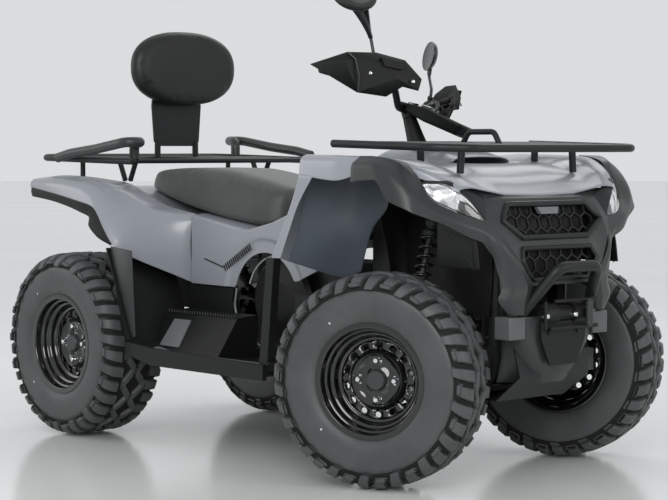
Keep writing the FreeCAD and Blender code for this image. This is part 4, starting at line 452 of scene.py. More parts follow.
# Metres in the row frame: axles, height of the hubs, the kingpins' distance from the middle and the stub
# axle's length beyond them, and half the rear track; the front wheels stand turned to the left by STEER
FRONT_AXLE, REAR_AXLE, HUB_HEIGHT = 0.68, -0.78, 0.314
KINGPIN, STUB, REAR_HALF_TRACK = 0.367, 0.065, 0.443
STEER = math.radians(23.5)
CAP_LINE = [(-75, 0), (-75, 33), (-58, 32), (-54, 30), (-48, 29), (-45, 26.5), (-44, 0)]
for side_name, side in (("right", -1), ("left", 1)):
    front_hub = (FRONT_AXLE - side * STUB * math.sin(STEER), side * (KINGPIN + STUB * math.cos(STEER)),
                 HUB_HEIGHT)
    rear_hub = (REAR_AXLE, side * REAR_HALF_TRACK, HUB_HEIGHT)
    for end, width, hub, turn in (("front", 205, front_hub, STEER), ("rear", 230, rear_hub, 0.0)):
        body, place, half = f"wheel_{end}_{side_name}", (hub, turn, side), width / 2 - LIP_RECESS
        points, faces, groove = tyre_parts(width)
        tyre = on_wheel(f"{end}_tyre_{side_name}", (points, faces), TYRE_RUBBER_AND_REFLECTION, 28, *place)
        # the crown between the lugs takes the darker rubber: painted shade
        tyre.data.materials.append(GROOVE_PAINTED_SHADE)
        tyre.data.polygons.foreach_set("material_index", groove)
        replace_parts(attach(tyre, body), f"tyre_{end}_{side_name}")
        rim = thicken(on_wheel(f"{end}_rim_{side_name}", rim_parts(half), RIM_PAINT, 40, *place), 0.0025)
        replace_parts(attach(rim, body), f"rim_{end}_{side_name}")
        nuts = on_wheel(f"{end}_wheel_nuts_{side_name}", nut_parts(half), CHROME, 30, *place)
        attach(nuts, body)
        cap_form = closed_turn(np.array(CAP_LINE) + (half, 0), 40)
        cap = on_wheel(f"{end}_centre_cap_{side_name}", cap_form, CAP_PLASTIC, 30, *place)
        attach(cap, body)


# The painted body: front fenders in one with the hood, rear fenders in one with the deck, the cover in
# front of the seat and two side covers. All are injection-moulded ABS with a slate-grey gloss coat, about 4
# mm thick, and screwed to the frame through rubber bushes. The gloss shows soft flow waves some 60 mm
# apart.
SLATE_GLOSS = grained("slate_gloss_abs", ("#868a91", "#8e9299"),
                      {"Roughness": 0.3, "Coat Weight": 0.25, "Coat Roughness": 0.12}, 16, 0.1, patch=3.0)
PANEL_WALL = 0.004
FRONT_BODY = {478: [(0, 900), (-150, 905), (-185, 948), (-330, 958), (-465, 966), (-497, 950), (-503, 905)],
              640: [(0, 905), (-150, 912), (-200, 945), (-330, 958), (-470, 963), (-500, 945), (-505, 890)],
              780: [(0, 938), (-160, 940), (-240, 938), (-330, 952), (-430, 958), (-455, 945), (-460, 925)],
              900: [(0, 900), (-160, 904), (-250, 905), (-330, 922), (-385, 922), (-400, 912), (-402, 895)],
              985: [(0, 846), (-150, 850), (-230, 864), (-290, 872), (-330, 868), (-338, 862), (-339, 858)]}
REAR_BODY = {-1004: [(0, 846), (-150, 848), (-300, 868), (-420, 880), (-466, 876), (-482, 862), (-484, 848)],
             -860: [(0, 846), (-150, 844), (-300, 872), (-425, 890), (-474, 880), (-494, 858), (-497, 831)],
             -700: [(0, 834), (-150, 826), (-300, 868), (-425, 884), (-476, 868), (-498, 838), (-502, 807)],
             -600: [(0, 790), (-150, 792), (-300, 840), (-410, 858), (-470, 838), (-496, 805), (-500, 786)],
             -540: [(0, 768), (-150, 772), (-262, 800), (-362, 812), (-440, 785), (-486, 735), (-495, 712)],
             -500: [(0, 752), (-150, 758), (-245, 784), (-335, 782), (-416, 745), (-472, 680), (-484, 655)],
             -384: [(0, 730), (-150, 735), (-215, 760), (-240, 735), (-246, 650), (-240, 580), (-236, 527)]}
CONSOLE = {-8: [(0, 836), (-70, 832), (-116, 800), (-142, 706.4)],
           200: [(0, 908), (-80, 903), (-140, 872), (-172, 770)],
           400: [(0, 968), (-90, 964), (-150, 938), (-176, 880)],
           470: [(0, 986), (-92, 982), (-132, 962), (-140, 918)],
           640: [(0, 980), (-85, 978), (-125, 960), (-140, 922)],
           745: [(0, 960), (-78, 958), (-112, 952), (-125, 944)]}
# The rear arch's black inner edge, from under the fender's edge to its own lower edge
ARCH_EDGE = [[(-1002, -478, 856), (-1002, -482, 834), (-1001, -478, 814)],
             [(-860, -490, 842), (-860, -492, 822), (-860, -486, 800)],
             [(-700, -495, 818), (-700, -496, 796), (-700, -488, 768)],
             [(-612, -490, 800), (-628, -490, 770), (-645, -482, 748)],
             [(-560, -486, 760), (-600, -486, 735), (-655, -478, 722)],
             [(-522, -482, 705), (-565, -480, 690), (-612, -472, 682)],
             [(-500, -478, 668), (-515, -478, 662), (-530, -474, 656)]]
# The wheel arch's inner wall behind the front fender: rows from the fender down to the sill
LINER = [[(478, -503, 905), (540, -504, 899), (498, -455, 925), (560, -322, 938), (655, -300, 935)],
         [(439, -500, 821), (474, -500, 821), (440, -455, 821), (548, -327, 821), (650, -300, 821)],
         [(394, -500, 738), (430, -500, 738), (410, -455, 738), (539, -330, 738), (580, -300, 738)],
         [(345, -500, 652), (388, -500, 652), (376, -455, 640), (480, -330, 592), (530, -300, 610)]]


def sections(table):
    """A table of cross sections, each named by its x, as an array of rows by columns of points."""
    return np.array([[(x, y, z) for y, z in row] for x, row in table.items()], float)


def whole(rows):
    """A right-hand table made whole: its middle column stays and the others are mirrored to the left."""
    rows = np.asarray(rows, float)
    return np.concatenate([rows[:, :0:-1] * (1, -1, 1), rows], 1)


def smooth_sheet(rows, fine_rows, fine_columns, folds=()):
    """A smooth surface through rows by columns of points; it keeps a crease along each column named in
    folds."""
    rows = through(rows, fine_rows)
    cuts = [0, *folds, rows.shape[1] - 1]
    runs = [through(np.swapaxes(rows[:, a:b + 1], 0, 1), fine_columns) for a, b in zip(cuts, cuts[1:])]
    grid = np.swapaxes(np.concatenate([runs[0]] + [run[1:] for run in runs[1:]]), 0, 1)
    return grid, sheet_faces(*grid.shape[:2])


def both_sides(points, faces):
    """A right-hand form and its mirror image on the left, turned right side out."""
    points, faces = np.asarray(points, float).reshape(-1, 3), [tuple(f) for f in faces]
    return joined([(points, faces), (points * (1, -1, 1), [f[::-1] for f in faces])])


def add_loose(name, form, finish, wall, crisp=35, bevel=0.001):
    """A moulded sheet of its own on the chassis, given in millimetres from between the axles."""
    points, faces = form
    piece = make_mesh(name, from_axles(np.asarray(points).reshape(-1, 3)), faces, finish, crisp)
    thicken(piece, wall, bevel)
    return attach(piece, "chassis")


def add_panel(name, form, finish, wall, node, crisp=35, bevel=0.0012):
    """A moulded sheet in place of its CAD node."""
    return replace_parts(add_loose(name, form, finish, wall, crisp, bevel), node)


def turned_over(form):
    """A sheet with its faces turned to the other side."""
    return form[0], np.asarray(form[1])[:, ::-1]


def upright_plate(outline, y):
    """A flat sheet that stands lengthwise at y, its corners given by x and z, and its mirror image."""
    outline = np.array(outline, float)
    points = np.stack([outline[:, 0], np.full(len(outline), y), outline[:, 1]], -1)
    return both_sides(points, [tuple(range(len(outline)))[::-1]])


# The same slate ABS without its gloss coat inside the arches, its colour painted darker as the arches' shade
SLATE_PAINTED_SHADE = grained("slate_abs_painted_shade", ("#3c424a", "#4a515a"),
                       {"Roughness": 0.42, "Specular IOR Level": 0.3}, 30, 0.1, patch=3.0)
# Unpainted polypropylene: charcoal with a fine spark-eroded grain outside, plain black on liners and housings
CHARCOAL_GRAIN = grained("grained_polypropylene", ("#272a2a", "#303333"),
                         {"Roughness": 0.36, "Specular IOR Level": 0.4}, 650, 0.28, patch=5.0)
# the plain black also paints the shade in the side covers' slots and groove
BLACK_LINER = grained("black_polypropylene", ("#0e0f0f", "#141515"),
                      {"Roughness": 0.5, "Specular IOR Level": 0.28}, 500, 0.2)
add_panel("front_body_panel", smooth_sheet(whole(sections(FRONT_BODY)), 8, 8, folds=(4, 5, 7, 8)),
          SLATE_GLOSS, PANEL_WALL, "front_body", 12)
liner = np.array(LINER, float)
add_loose("front_fender_edges", both_sides(*turned_over(smooth_sheet(liner[:, :3], 8, 6, folds=(1,)))),
          SLATE_GLOSS, PANEL_WALL)
# the arches' inner walls: slate painted darker as shade
add_loose("front_wheel_arches", both_sides(*turned_over(smooth_sheet(liner[:, 2:], 8, 8))), SLATE_PAINTED_SHADE,
          PANEL_WALL)
add_loose("rear_arch_edges", both_sides(*smooth_sheet(ARCH_EDGE, 6, 6)), BLACK_LINER, 0.003)
# Black inner sheets that shut the front arch towards the engine, and three slate flanges that stiffen the
# arch's edge
SHUT = [[(655, -300, 930), (640, -230, 930), (590, -150, 925)],
        [(605, -288, 790), (598, -225, 790), (590, -150, 790)],
        [(580, -232, 660), (575, -200, 660), (590, -150, 660)],
        [(570, -200, 500), (572, -180, 500), (590, -150, 500)]]
add_loose("arch_closing_sheets", both_sides(*turned_over(smooth_sheet(SHUT, 4, 4))), BLACK_LINER, 0.003)
SHIELD = [(430, 900), (640, 900), (640, 500), (430, 500)]
add_loose("engine_side_shields", upright_plate(SHIELD, -158.0), BLACK_LINER, 0.003)
# the flanges take the same slate painted darker as shade
FLANGES = [(474, -300, 598), (504, -296, 599), (520, -298, 716), (492, -302, 714), (520, -300, 700),
           (560, -296, 735), (648, -298, 818), (576, -302, 826), (433, -310, 810), (458, -306, 806),
           (486, -306, 863), (430, -310, 862)]
add_loose("arch_flanges", both_sides(FLANGES, np.arange(12).reshape(3, 4)), SLATE_PAINTED_SHADE, 0.004,
          bevel=0.0015)
add_panel("rear_body_panel", smooth_sheet(whole(sections(REAR_BODY)), 8, 8, folds=(4, 8)), SLATE_GLOSS,
          PANEL_WALL, "rear_body", 12)
add_panel("console_panel", smooth_sheet(whole(sections(CONSOLE)), 8, 8), SLATE_GLOSS, PANEL_WALL, "console")

# The side covers below the seat: a flat sheet that steps down to a rim round the transmission's cut-out,
# with a moulded groove that runs into a row of fifteen cooling slots.
# x, lower edge and upper edge; then the cut-out's centre and radius and the rim step's radius and height
SIDE_EDGE = np.array([(-380, 527, 757), (-250, 525.5, 738), (-120, 524, 718), (-90, 528, 714),
                      (40, 543, 742), (170, 560, 788), (200, 571, 800), (300, 610, 836), (430, 690, 872)],
                     float)
COVER_CENTRE, COVER_CUT = (5, 485), 159.5
RIM_RADIUS, RIM_STEP = 203, 6
SIDE_PLANE = -240
side_x = np.unique(np.concatenate([np.linspace(-380, 430, 109), [-90, 40, 170, 300]]))
low, high = (np.interp(side_x, SIDE_EDGE[:, 0], SIDE_EDGE[:, column]) for column in (1, 2))
arc = COVER_CUT ** 2 - (side_x - COVER_CENTRE[0]) ** 2
low = np.maximum(low, np.where(arc > 0, COVER_CENTRE[1] + np.sqrt(np.maximum(arc, 0)), 0))
side_z = low[:, None] + (high - low)[:, None] * np.linspace(0, 1, 41)
from_cut = np.hypot(side_x[:, None] - COVER_CENTRE[0], side_z - COVER_CENTRE[1])
rise = RIM_STEP / (1 + np.exp(-(from_cut - RIM_RADIUS) / 3))
side_points = np.stack([side_x[:, None] + 0 * side_z, SIDE_PLANE - rise, side_z], -1)
side_faces = sheet_faces(*side_z.shape)[:, ::-1]
add_panel("side_covers", both_sides(side_points, side_faces), SLATE_GLOSS, 0.0045, "side_panels",
          30)
shelf_x = np.linspace(-380, 60, 23)
shelf_z = np.interp(shelf_x, SIDE_EDGE[:, 0], SIDE_EDGE[:, 2])
LEDGE = ((SIDE_PLANE, -3), (-236, 0), (-200, 3), (-130, 4))
shelf = np.stack([np.stack([shelf_x, 0 * shelf_x + y, shelf_z + lift], -1) for y, lift in LEDGE], 1)
add_loose("seat_ledges", both_sides(shelf, sheet_faces(*shelf.shape[:2])), SLATE_GLOSS, 0.003)
BAND = [(-509, -490, 656), (-389, -490, 644), (-369, -490, 359), (-443, -490, 337)]
add_loose("foot_well_edges", both_sides(BAND, [(0, 3, 2, 1)]), CHARCOAL_GRAIN, 0.004,
          bevel=0.0015)
WELL = [(-570, 440), (-150, 440), (-150, 505), (-165, 540), (-570, 640)]
add_loose("foot_well_walls", upright_plate(WELL, -222.0), BLACK_LINER, 0.003)


# The dark outer panels: the two brows that run from the fenders down past the headlamps to the nose,
# injection- moulded of black-grey polypropylene with a fine spark-eroded grain, left unpainted.
BROW = [[(742, -450, 962), (730, -487, 962), (722, -515, 932), (722, -518, 887)],
        [(790, -446, 957), (790, -484, 961), (805, -514, 935), (819, -518, 894)],
        [(850, -428, 945), (850, -462, 948), (862, -506, 908), (870, -514, 838)],
        [(893, -414, 904), (893, -432, 910), (918, -484, 868), (935, -492, 808)],
        [(940, -405, 841), (945, -413, 838), (968, -430, 808), (985, -403, 770)],
        [(1000, -335, 794), (1004, -342, 790), (1015, -352, 765), (1015, -341, 736)],
        [(1020, -256, 770), (1025, -262, 764), (1035, -278, 738), (1030, -267, 706)],
        [(1062, -221, 700), (1062, -232, 694), (1050, -246, 685), (1034, -250, 672)],
        [(1080, -166, 637), (1082, -190, 636), (1064, -224, 636), (1040, -241, 636)],
        [(1078, -130, 584), (1086, -160, 584), (1074, -202, 585), (1052, -231, 585)],
        [(1074, -144, 546), (1084, -170, 546), (1072, -215, 549), (1050, -245, 552)],
        [(1070, -158, 505), (1080, -170, 505), (1071, -195, 506), (1056, -210, 507)]]
add_panel("brow_mouldings", both_sides(*smooth_sheet(BROW, 6, 8, folds=(1,))), CHARCOAL_GRAIN, 0.006,
          "brows", 30, 0.002)

# The nose: one moulding behind the grilles, cut out for them and open at its foot; dark bezels frame the
# two openings, and a blank plate sits in the middle of the upper one. Behind it stand the cheeks and splash
# plates.
FASCIA = [[(976, 0, 848), (974, -150, 851), (964, -225, 861), (944, -325, 864)],
          [(1000, 0, 838), (998, -150, 838), (990, -225, 838), (968, -325, 838)],
          [(1035, 0, 746), (1040, -150, 746), (1048, -225, 746), (1012, -300, 746)],
          [(1056, 0, 640), (1062, -140, 640), (1076, -172, 640), (1036, -232, 640)],
          [(1066, 0, 550), (1072, -120, 550), (1078, -150, 550), (1046, -225, 550)],
          [(1058, 0, 499), (1060, -120, 499), (1064, -165, 499), (1052, -200, 499)]]
UPPER_GRILLE = [(168, 822), (213, 775), (140, 726), (-140, 726), (-213, 775), (-168, 822)]
LOWER_GRILLE = [(148, 694), (162, 660), (118, 604), (-118, 604), (-162, 660), (-148, 694)]
OPEN_NOSE = [(178, 588), (178, 480), (-178, 480), (-178, 588)]


def inside(outline, y, z):
    """Whether points lie inside an outline: a ray along y crosses its sides an odd number of times."""
    odd = np.zeros(np.shape(y), bool)
    for (y1, z1), (y2, z2) in zip(outline, outline[1:] + outline[:1]):
        if z1 != z2:
            odd ^= ((z1 > z) != (z2 > z)) & (y < y1 + (y2 - y1) * (z - z1) / (z2 - z1))
    return odd


nose, nose_faces = smooth_sheet(whole(FASCIA), 20, 14, folds=(1, 2, 4, 5))
nose_points = nose.reshape(-1, 3)
middle_y, middle_z = nose_points[nose_faces].mean(1)[:, 1:].T
cut = np.any([inside(outline, middle_y, middle_z) for outline in (UPPER_GRILLE, LOWER_GRILLE, OPEN_NOSE)],
             axis=0)
add_panel("nose", (nose, nose_faces[~cut]), CHARCOAL_GRAIN, 0.008, "fascia", 25, 0)


def nose_front(y, z):
    """How far forward the nose's surface lies at places seen from the front: the nearest point of its grid."""
    return nose_points[np.hypot(nose_points[:, 1] - y[:, None], nose_points[:, 2] - z[:, None]).argmin(1), 0]


BACKING = [[(985, -226, 846), (985, 0, 842), (985, 226, 846)],
           [(992, -226, 770), (995, 0, 770), (992, 226, 770)],
           [(996, -170, 690), (1005, 0, 690), (996, 170, 690)],
           [(1000, -165, 592), (1010, 0, 592), (1000, 165, 592)]]
add_loose("grille_backing", smooth_sheet(BACKING, 4, 4), BLACK_LINER, 0.003)
CHEEK = [(862, 640), (1030, 640), (1022, 700), (1012, 746), (1000, 768), (905, 778), (862, 800)]
SPLASH = [(590, 490), (930, 490), (945, 600), (945, 830), (880, 880), (590, 890)]
plates = joined([upright_plate(CHEEK, -300.0), upright_plate(SPLASH, -156.3)])
add_loose("cheeks_and_splash_plates", plates, BLACK_LINER, 0.005, bevel=0.0015)
finish_nodes(BLACK_LINER, "footwells", "transmission_cover", "grilles")


# The headlamps: a clear polycarbonate lens over two bright bowls with a dark divider between them, in a black
# housing that fills the gap between hood and brow.
LENS_CLEAR, _ = new_finish("clear_polycarbonate",
                           {"Base Color": (1, 1, 1, 1), "Roughness": 0.02, "IOR": 1.585,
                            "Transmission Weight": 1.0})
MIRROR_BOWL, _ = new_finish("aluminised_reflector",
                            {"Base Color": linear("#f4f5f6"), "Metallic": 1.0, "Roughness": 0.24})
# The opening's upper and lower edge, from the outer corner to the nose; the lens looks along LAMP_OUT
LAMP_EDGE = np.array([[(905, -408, 884), (950, -372, 884), (990, -318, 846), (1018, -262, 775)],
                      [(905, -408, 884), (940, -400, 842), (1000, -330, 795), (1018, -262, 775)]], float)
LAMP_OUT = unit(np.array([0.72, -0.52, 0.46]))
DIVIDER = 0.53               # share of the lamp's length at which one bowl ends and the other starts
lens_edges = through(np.swapaxes(LAMP_EDGE, 0, 1), 10)
u = np.linspace(0, 1, len(lens_edges))[:, None, None]
v = np.linspace(0, 1, 13)[None, :, None]
lens = lens_edges[:, :1] * (1 - v) + lens_edges[:, 1:] * v
swell = np.sin(np.pi * u) * np.sin(np.pi * v)
hollow = swell ** 0.6 * np.abs(np.sin(np.pi * (u - DIVIDER) / (1 - DIVIDER))) ** 0.7


def lamp_sheet(name, points, finish, crisp, wall):
    """A curved sheet of the right lamp and its mirror image on the left."""
    points, faces = both_sides(points, sheet_faces(*lens.shape[:2]))
    piece = thicken(outward(make_mesh(name, from_axles(points), faces, finish, crisp)), wall)
    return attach(piece, "chassis")


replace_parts(lamp_sheet("headlamp_lenses", lens - LAMP_OUT * (2 - 5 * swell), LENS_CLEAR, 30, 0.002),
            "headlamps")
lamp_sheet("headlamp_bowls", lens - LAMP_OUT * (8 + 26 * hollow), MIRROR_BOWL, 40, 0.0015)

# The tail lamps: red acrylic lenses with fine upright ribs moulded inside. They keep their CAD solids.
LENS_RED = grained("red_acrylic", ("#8d0d12", "#a81218"),
                   {"Roughness": 0.08, "Transmission Weight": 0.3, "IOR": 1.49}, 120, 0.2)
finish_nodes(LENS_RED, "tail_lamps")


# The seat and the backrest pad: moulded foam under black vinyl with a fine leather grain, pulled tight over a
# base and stapled under its edge.
# Calendered vinyl: worn to a low sheen on the seat, smoother and darker on the pad
VINYL = grained("grained_black_vinyl", ("#333534", "#414342"), {"Roughness": 0.52, "Sheen Weight": 0.15},
                480, 0.45, patch=7.0)
PAD_VINYL = grained("smooth_black_vinyl", ("#151616", "#1e1f1f"),
                    {"Roughness": 0.4, "Specular IOR Level": 0.35}, 520, 0.35, patch=6.0)
# The seat's right half at each x: y and z from the foot of its side to the top
SEAT = {-822: [(-60, 846), (-84, 856), (-70, 890), (-40, 897)],
        -700: [(-120, 830), (-160, 838), (-135, 900), (-80, 908)],
        -550: [(-150, 800), (-192, 806), (-165, 900), (-90, 914)],
        -400: [(-150, 768), (-202, 778), (-172, 892), (-90, 914)],
        -220: [(-140, 735), (-196, 750), (-168, 868), (-90, 893)],
        -80: [(-120, 722), (-172, 738), (-150, 832), (-80, 862)],
        -15: [(-80, 738), (-110, 756), (-100, 820), (-60, 842)]}


def ring_through(points, fineness):
    """A smooth closed line along the second axis of rows by columns by 3."""
    wrapped = np.concatenate([points[:, -2:], points, points[:, :3]], 1)
    line = np.swapaxes(through(np.swapaxes(wrapped, 0, 1), fineness), 0, 1)
    return line[:, 2 * fineness:(2 + points.shape[1]) * fineness]


def closed_rings(grid):
    """A form of closed rings whose two ends are shut by a fan to their middles."""
    rows, columns = grid.shape[:2]
    points = np.concatenate([grid.reshape(-1, 3), grid[:1].mean(1), grid[-1:].mean(1)])
    faces = [tuple(f) for f in sheet_faces(rows, columns, round_columns=True)]
    first, last = np.arange(columns), np.arange(columns) + (rows - 1) * columns
    faces += [(rows * columns, b, a) for a, b in zip(first, np.roll(first, -1))]
    faces += [(rows * columns + 1, a, b) for a, b in zip(last, np.roll(last, -1))]
    return points, faces


def upholster(piece, voxel, cap):
    """Foam pushed out against its cover: the form is remeshed, blown up as cloth for 20 frames, and each
    point keeps at most cap metres of its way."""
    scene = bpy.context.scene
    remesh = piece.modifiers.new("remesh", "REMESH")
    remesh.mode, remesh.voxel_size = "VOXEL", voxel
    mesh = bpy.data.meshes.new_from_object(piece.evaluated_get(bpy.context.evaluated_depsgraph_get()))
    piece.modifiers.remove(remesh)
    mesh.materials.clear()
    mesh.materials.append(piece.data.materials[0])
    piece.data = mesh
    start = np.empty(len(mesh.vertices) * 3)
    mesh.vertices.foreach_get("co", start)
    cloth = piece.modifiers.new("cloth", "CLOTH")
    cloth.settings.use_pressure, cloth.settings.uniform_pressure_force = True, 4.0
    cloth.settings.effector_weights.gravity = 0.0
    cloth.settings.quality = 6
    cloth.point_cache.frame_start, cloth.point_cache.frame_end = 1, 20
    for frame_number in range(1, 21):
        scene.frame_set(frame_number)
    blown = piece.evaluated_get(bpy.context.evaluated_depsgraph_get()).data
    end = np.empty(len(mesh.vertices) * 3)
    blown.vertices.foreach_get("co", end)
    piece.modifiers.remove(cloth)
    scene.frame_set(1)
    move = (end - start).reshape(-1, 3)
    length = np.linalg.norm(move, axis=1, keepdims=True)
    move *= np.minimum(1, cap / np.maximum(length, 1e-9))
    mesh.vertices.foreach_set("co", start + move.ravel())
    mesh.shade_smooth()
    finer = piece.modifiers.new("finer", "SUBSURF")
    finer.levels = finer.render_levels = 1
    return piece


def add_cushion(name, rings, finish, voxel, cap, node):
    """An upholstered form of closed rings in place of its CAD node."""
    points, faces = closed_rings(rings)
    piece = upholster(outward(make_mesh(name, from_axles(points), faces, finish, 60)), voxel, cap)
    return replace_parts(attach(piece, "chassis"), node)


seat_rows = sections(SEAT)
seat_rows = np.concatenate([seat_rows, seat_rows[:, ::-1] * (1, -1, 1)], 1)
seat_grid = ring_through(through(seat_rows, 7), 5)
middle = seat_grid.mean(1, keepdims=True)
along_share = np.linspace(0, 1, len(seat_grid))[:, None, None]
ends = np.interp(along_share, (0, 0.03, 0.07, 0.93, 0.97, 1), (0.62, 0.86, 1, 1, 0.86, 0.6))
seat_grid = middle + (seat_grid - middle) * ends * 0.975
add_cushion("seat_cushion", seat_grid, VINYL, 0.0066, 0.0035, "seat")

# The pad's outline is an oval with blunt corners; its rings run from the back face over the rim to the
# front face, each with its depth in mm and its share of the outline
PAD_CENTRE, PAD_WIDE, PAD_HIGH = np.array([-743, 0, 1270]), 234, 137
PAD_RINGS = [(-33, 0.3), (-34, 0.7), (-30, 0.87), (-18, 0.955), (0, 0.98), (18, 0.955), (30, 0.88),
             (33, 0.8), (35, 0.55), (36, 0.25)]
around = circle_angles(96)
oval = np.stack([0 * around, *(reach * np.sign(wave) * np.abs(wave) ** 0.86
                               for reach, wave in ((PAD_WIDE, np.cos(around)), (PAD_HIGH, np.sin(around))))],
                -1)
pad_depth, pad_share = through(np.array(PAD_RINGS, float), 3).T[:, :, None, None]
pad_grid = PAD_CENTRE + oval[None] * pad_share + pad_depth * (1, 0, 0)
add_cushion("backrest_cushion", pad_grid, PAD_VINYL, 0.0055, 0.003, "backrest_pad")


# The racks, grab bars and front bumper: round steel tube bent cold and welded, with a satin black powder
# coat. The grab bars are moulded plastic handles on the rear rack's sides; one is the other turned half
# round.
FRONT_RACK = [(550, -430, 998), (960, -430, 987), (1050, -340, 984), (1050, 340, 984), (960, 430, 987),
              (550, 430, 998)]
REAR_RACK = [(-500, -400, 940), (-1000, -424, 951), (-1043, -370, 953), (-1043, 370, 953), (-1000, 424, 951),
             (-500, 400, 940)]
GRAB_BAR = [(-880, -449, 951), (-800, -450, 966), (-650, -450, 981), (-475, -450, 1005), (-452, -400, 1005),
            (-540, -366, 1001), (-540, -366, 949)]


def rounded(corners, bend):
    """A line of corners with each inner corner rounded off: between the two points a cut before and after
    it runs the quadratic curve that the corner pulls."""
    corners = np.asarray(corners, float)
    before, after = corners[:-2] - corners[1:-1], corners[2:] - corners[1:-1]
    long_before, long_after = (np.linalg.norm(leg, axis=1, keepdims=True) for leg in (before, after))
    half = np.arccos(np.clip((before * after).sum(1, keepdims=True) / (long_before * long_after), -1, 1)) / 2
    cut = np.minimum(bend / np.tan(half), 0.48 * np.minimum(long_before, long_after))
    start, end = (corners[1:-1] + leg / length * cut
                  for leg, length in ((before, long_before), (after, long_after)))
    t = np.linspace(0, 1, 7)[None, :, None]
    arcs = (1 - t) ** 2 * start[:, None] + 2 * t * (1 - t) * corners[1:-1, None] + t ** 2 * end[:, None]
    return np.concatenate([corners[:1], arcs.reshape(-1, 3), corners[-1:]])


def tube(corners, radius, bend=0.0, sides=14):
    """A round bar along a line of corners: rings square to the line, shut at both ends by a low dome."""
    path = rounded(corners, bend) if bend else np.asarray(corners, float)
    ahead = unit(np.gradient(path, axis=0))
    plane = np.linalg.svd(ahead)[2][-1]
    beside_line = unit(np.cross(plane, ahead))
    over = np.cross(ahead, beside_line)
    radius = np.broadcast_to(radius, len(path)).astype(float)
    # the domes: one smaller ring beyond each end
    path = np.concatenate([path[:1] - ahead[:1] * radius[0] * 0.18, path,
                           path[-1:] + ahead[-1:] * radius[-1] * 0.18])
    beside_line, over = (np.concatenate([a[:1], a, a[-1:]])[:, None] for a in (beside_line, over))
    radius = np.concatenate([radius[:1] * 0.72, radius, radius[-1:] * 0.72])[:, None, None]
    angle = circle_angles(sides)[None, :, None]
    return closed_rings(path[:, None] + radius * (np.cos(angle) * beside_line + np.sin(angle) * over))


def add_bars(name, bars, finish, body, replaced=None, crisp=45):
    """Several closed forms as one piece, in millimetres from between the axles."""
    points, faces = joined(bars)
    piece = outward(make_mesh(name, from_axles(points), faces, finish, crisp))
    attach(piece, body)
    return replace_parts(piece, replaced) if replaced else piece


def mirror_bars(bars):
    """Right-hand forms with their mirror images."""
    return bars + [(points * (1, -1, 1), [tuple(f)[::-1] for f in faces]) for points, faces in bars]


def cross_bars(loop, places, radius):
    """Straight bars across a rack, from side tube to side tube, at the tubes' height."""
    side = np.array(loop[:3], float)
    side = side[np.argsort(side[:, 0])]
    ends = [(x, np.interp(x, side[:, 0], side[:, 1]), np.interp(x, side[:, 0], side[:, 2])) for x in places]
    return [tube([(x, y, z), (x, -y, z)], radius) for x, y, z in ends]


front_rack = [tube(FRONT_RACK, 12, 70)] + cross_bars(FRONT_RACK, (600, 663, 735, 823, 897, 985), 9)
front_rack += mirror_bars([tube([(735, -250, 992), (735, -248, 946)], 11),
                           tube([(897, -240, 989), (897, -246, 912)], 11)])
front_rack += [tube([(663, 0, 994), (690, 0, 1034), (797, 0, 1034), (823, 0, 991)], 9, 25)]
add_bars("front_rack_tubes", front_rack, POWDER_COAT, "chassis", "front_rack")
REAR_LEGS = ([(-620, -300, 942), (-655, -300, 873)], [(-720, -300, 944), (-685, -300, 873)],
             [(-900, -330, 948), (-900, -330, 877.1)])
rear_rack = [tube(REAR_RACK, 12, 70)] + cross_bars(REAR_RACK, (-540, -620, -720, -786, -900), 9)
rear_rack += mirror_bars([tube(leg, 9) for leg in REAR_LEGS])
add_bars("rear_rack_tubes", rear_rack, POWDER_COAT, "chassis", "rear_rack")
grab = tube(GRAB_BAR, 17, 45)
turned_grab = (grab[0] * (-1, -1, 1) + (-1440, 0, 7.8), grab[1])
add_bars("grab_rails", [grab, turned_grab], CHARCOAL_GRAIN, "chassis", "grab_bars")
BUMPER = [(1026, -146, 478), (1056, -138, 520), (1138, -84, 642), (1138, 84, 642), (1056, 138, 520),
          (1026, 146, 478)]
add_bars("bumper_hoop", [tube(BUMPER, 17, 45)], POWDER_COAT, "chassis", "bumper")


# The steering: a tubular handlebar clamped on the column, ribbed rubber grips, moulded hand guards on
# stays, two oval mirrors on thin stems and the instrument pod. All of it stands turned with the front
# wheels.
# Injection-moulded black ABS, nearly smooth; the grips' soft rubber, dull and fine-pored
SHELL_BLACK = grained("satin_black_abs_shell", ("#1b1c1d", "#242526"), {"Roughness": 0.32}, 500, 0.08)
GRIP_RUBBER = grained("ribbed_grip_rubber", ("#191a1a", "#232424"), {"Roughness": 0.68}, 700, 0.25)
HANDLEBAR = [(300, 370, 1163), (438, 150, 1150), (420, 70, 1100), (420, -70, 1100), (438, -150, 1150),
             (300, -370, 1163)]
COLUMN_AXIS = np.array([-0.400384, 0, 0.916348])
COLUMN_POINT = np.array([730.0, 0, 392.0])
# The hand guard's outline, then five points inside it: two on the crease of its outer wing, three round its
# main face; these stand forward of the outline by GUARD_BULGE
GUARD = np.array([(283, -427, 1165), (360, -343, 1221), (424, -273, 1234), (490, -201, 1225),
                  (532, -156, 1175), (527, -161, 1137), (490, -201, 1141), (456, -238, 1103),
                  (391, -309, 1102)], float)
GUARD_INNER = np.array([(354, -350, 1188), (375, -326, 1200), (450, -244, 1203), (476, -217, 1162),
                        (417, -281, 1123)], float)
GUARD_BULGE = np.array([15, 13, 15, 12, 13])
GUARD_FACES = [(9, 1, 0), (8, 9, 0), (9, 10, 1), (8, 10, 9), (10, 11, 2, 1), (11, 3, 2), (11, 4, 3),
               (13, 12, 11, 10), (8, 13, 10), (8, 7, 13), (7, 6, 12, 13), (12, 5, 4, 11), (6, 5, 12)]


def steered(points):
    """Points turned about the steering column by its angle at rest, after Rodrigues."""
    p = np.asarray(points, float).reshape(-1, 3) - COLUMN_POINT
    c, s = math.cos(STEER), math.sin(STEER)
    return p * c + np.cross(COLUMN_AXIS, p) * s + np.outer(p @ COLUMN_AXIS, COLUMN_AXIS) * (1 - c) + COLUMN_POINT


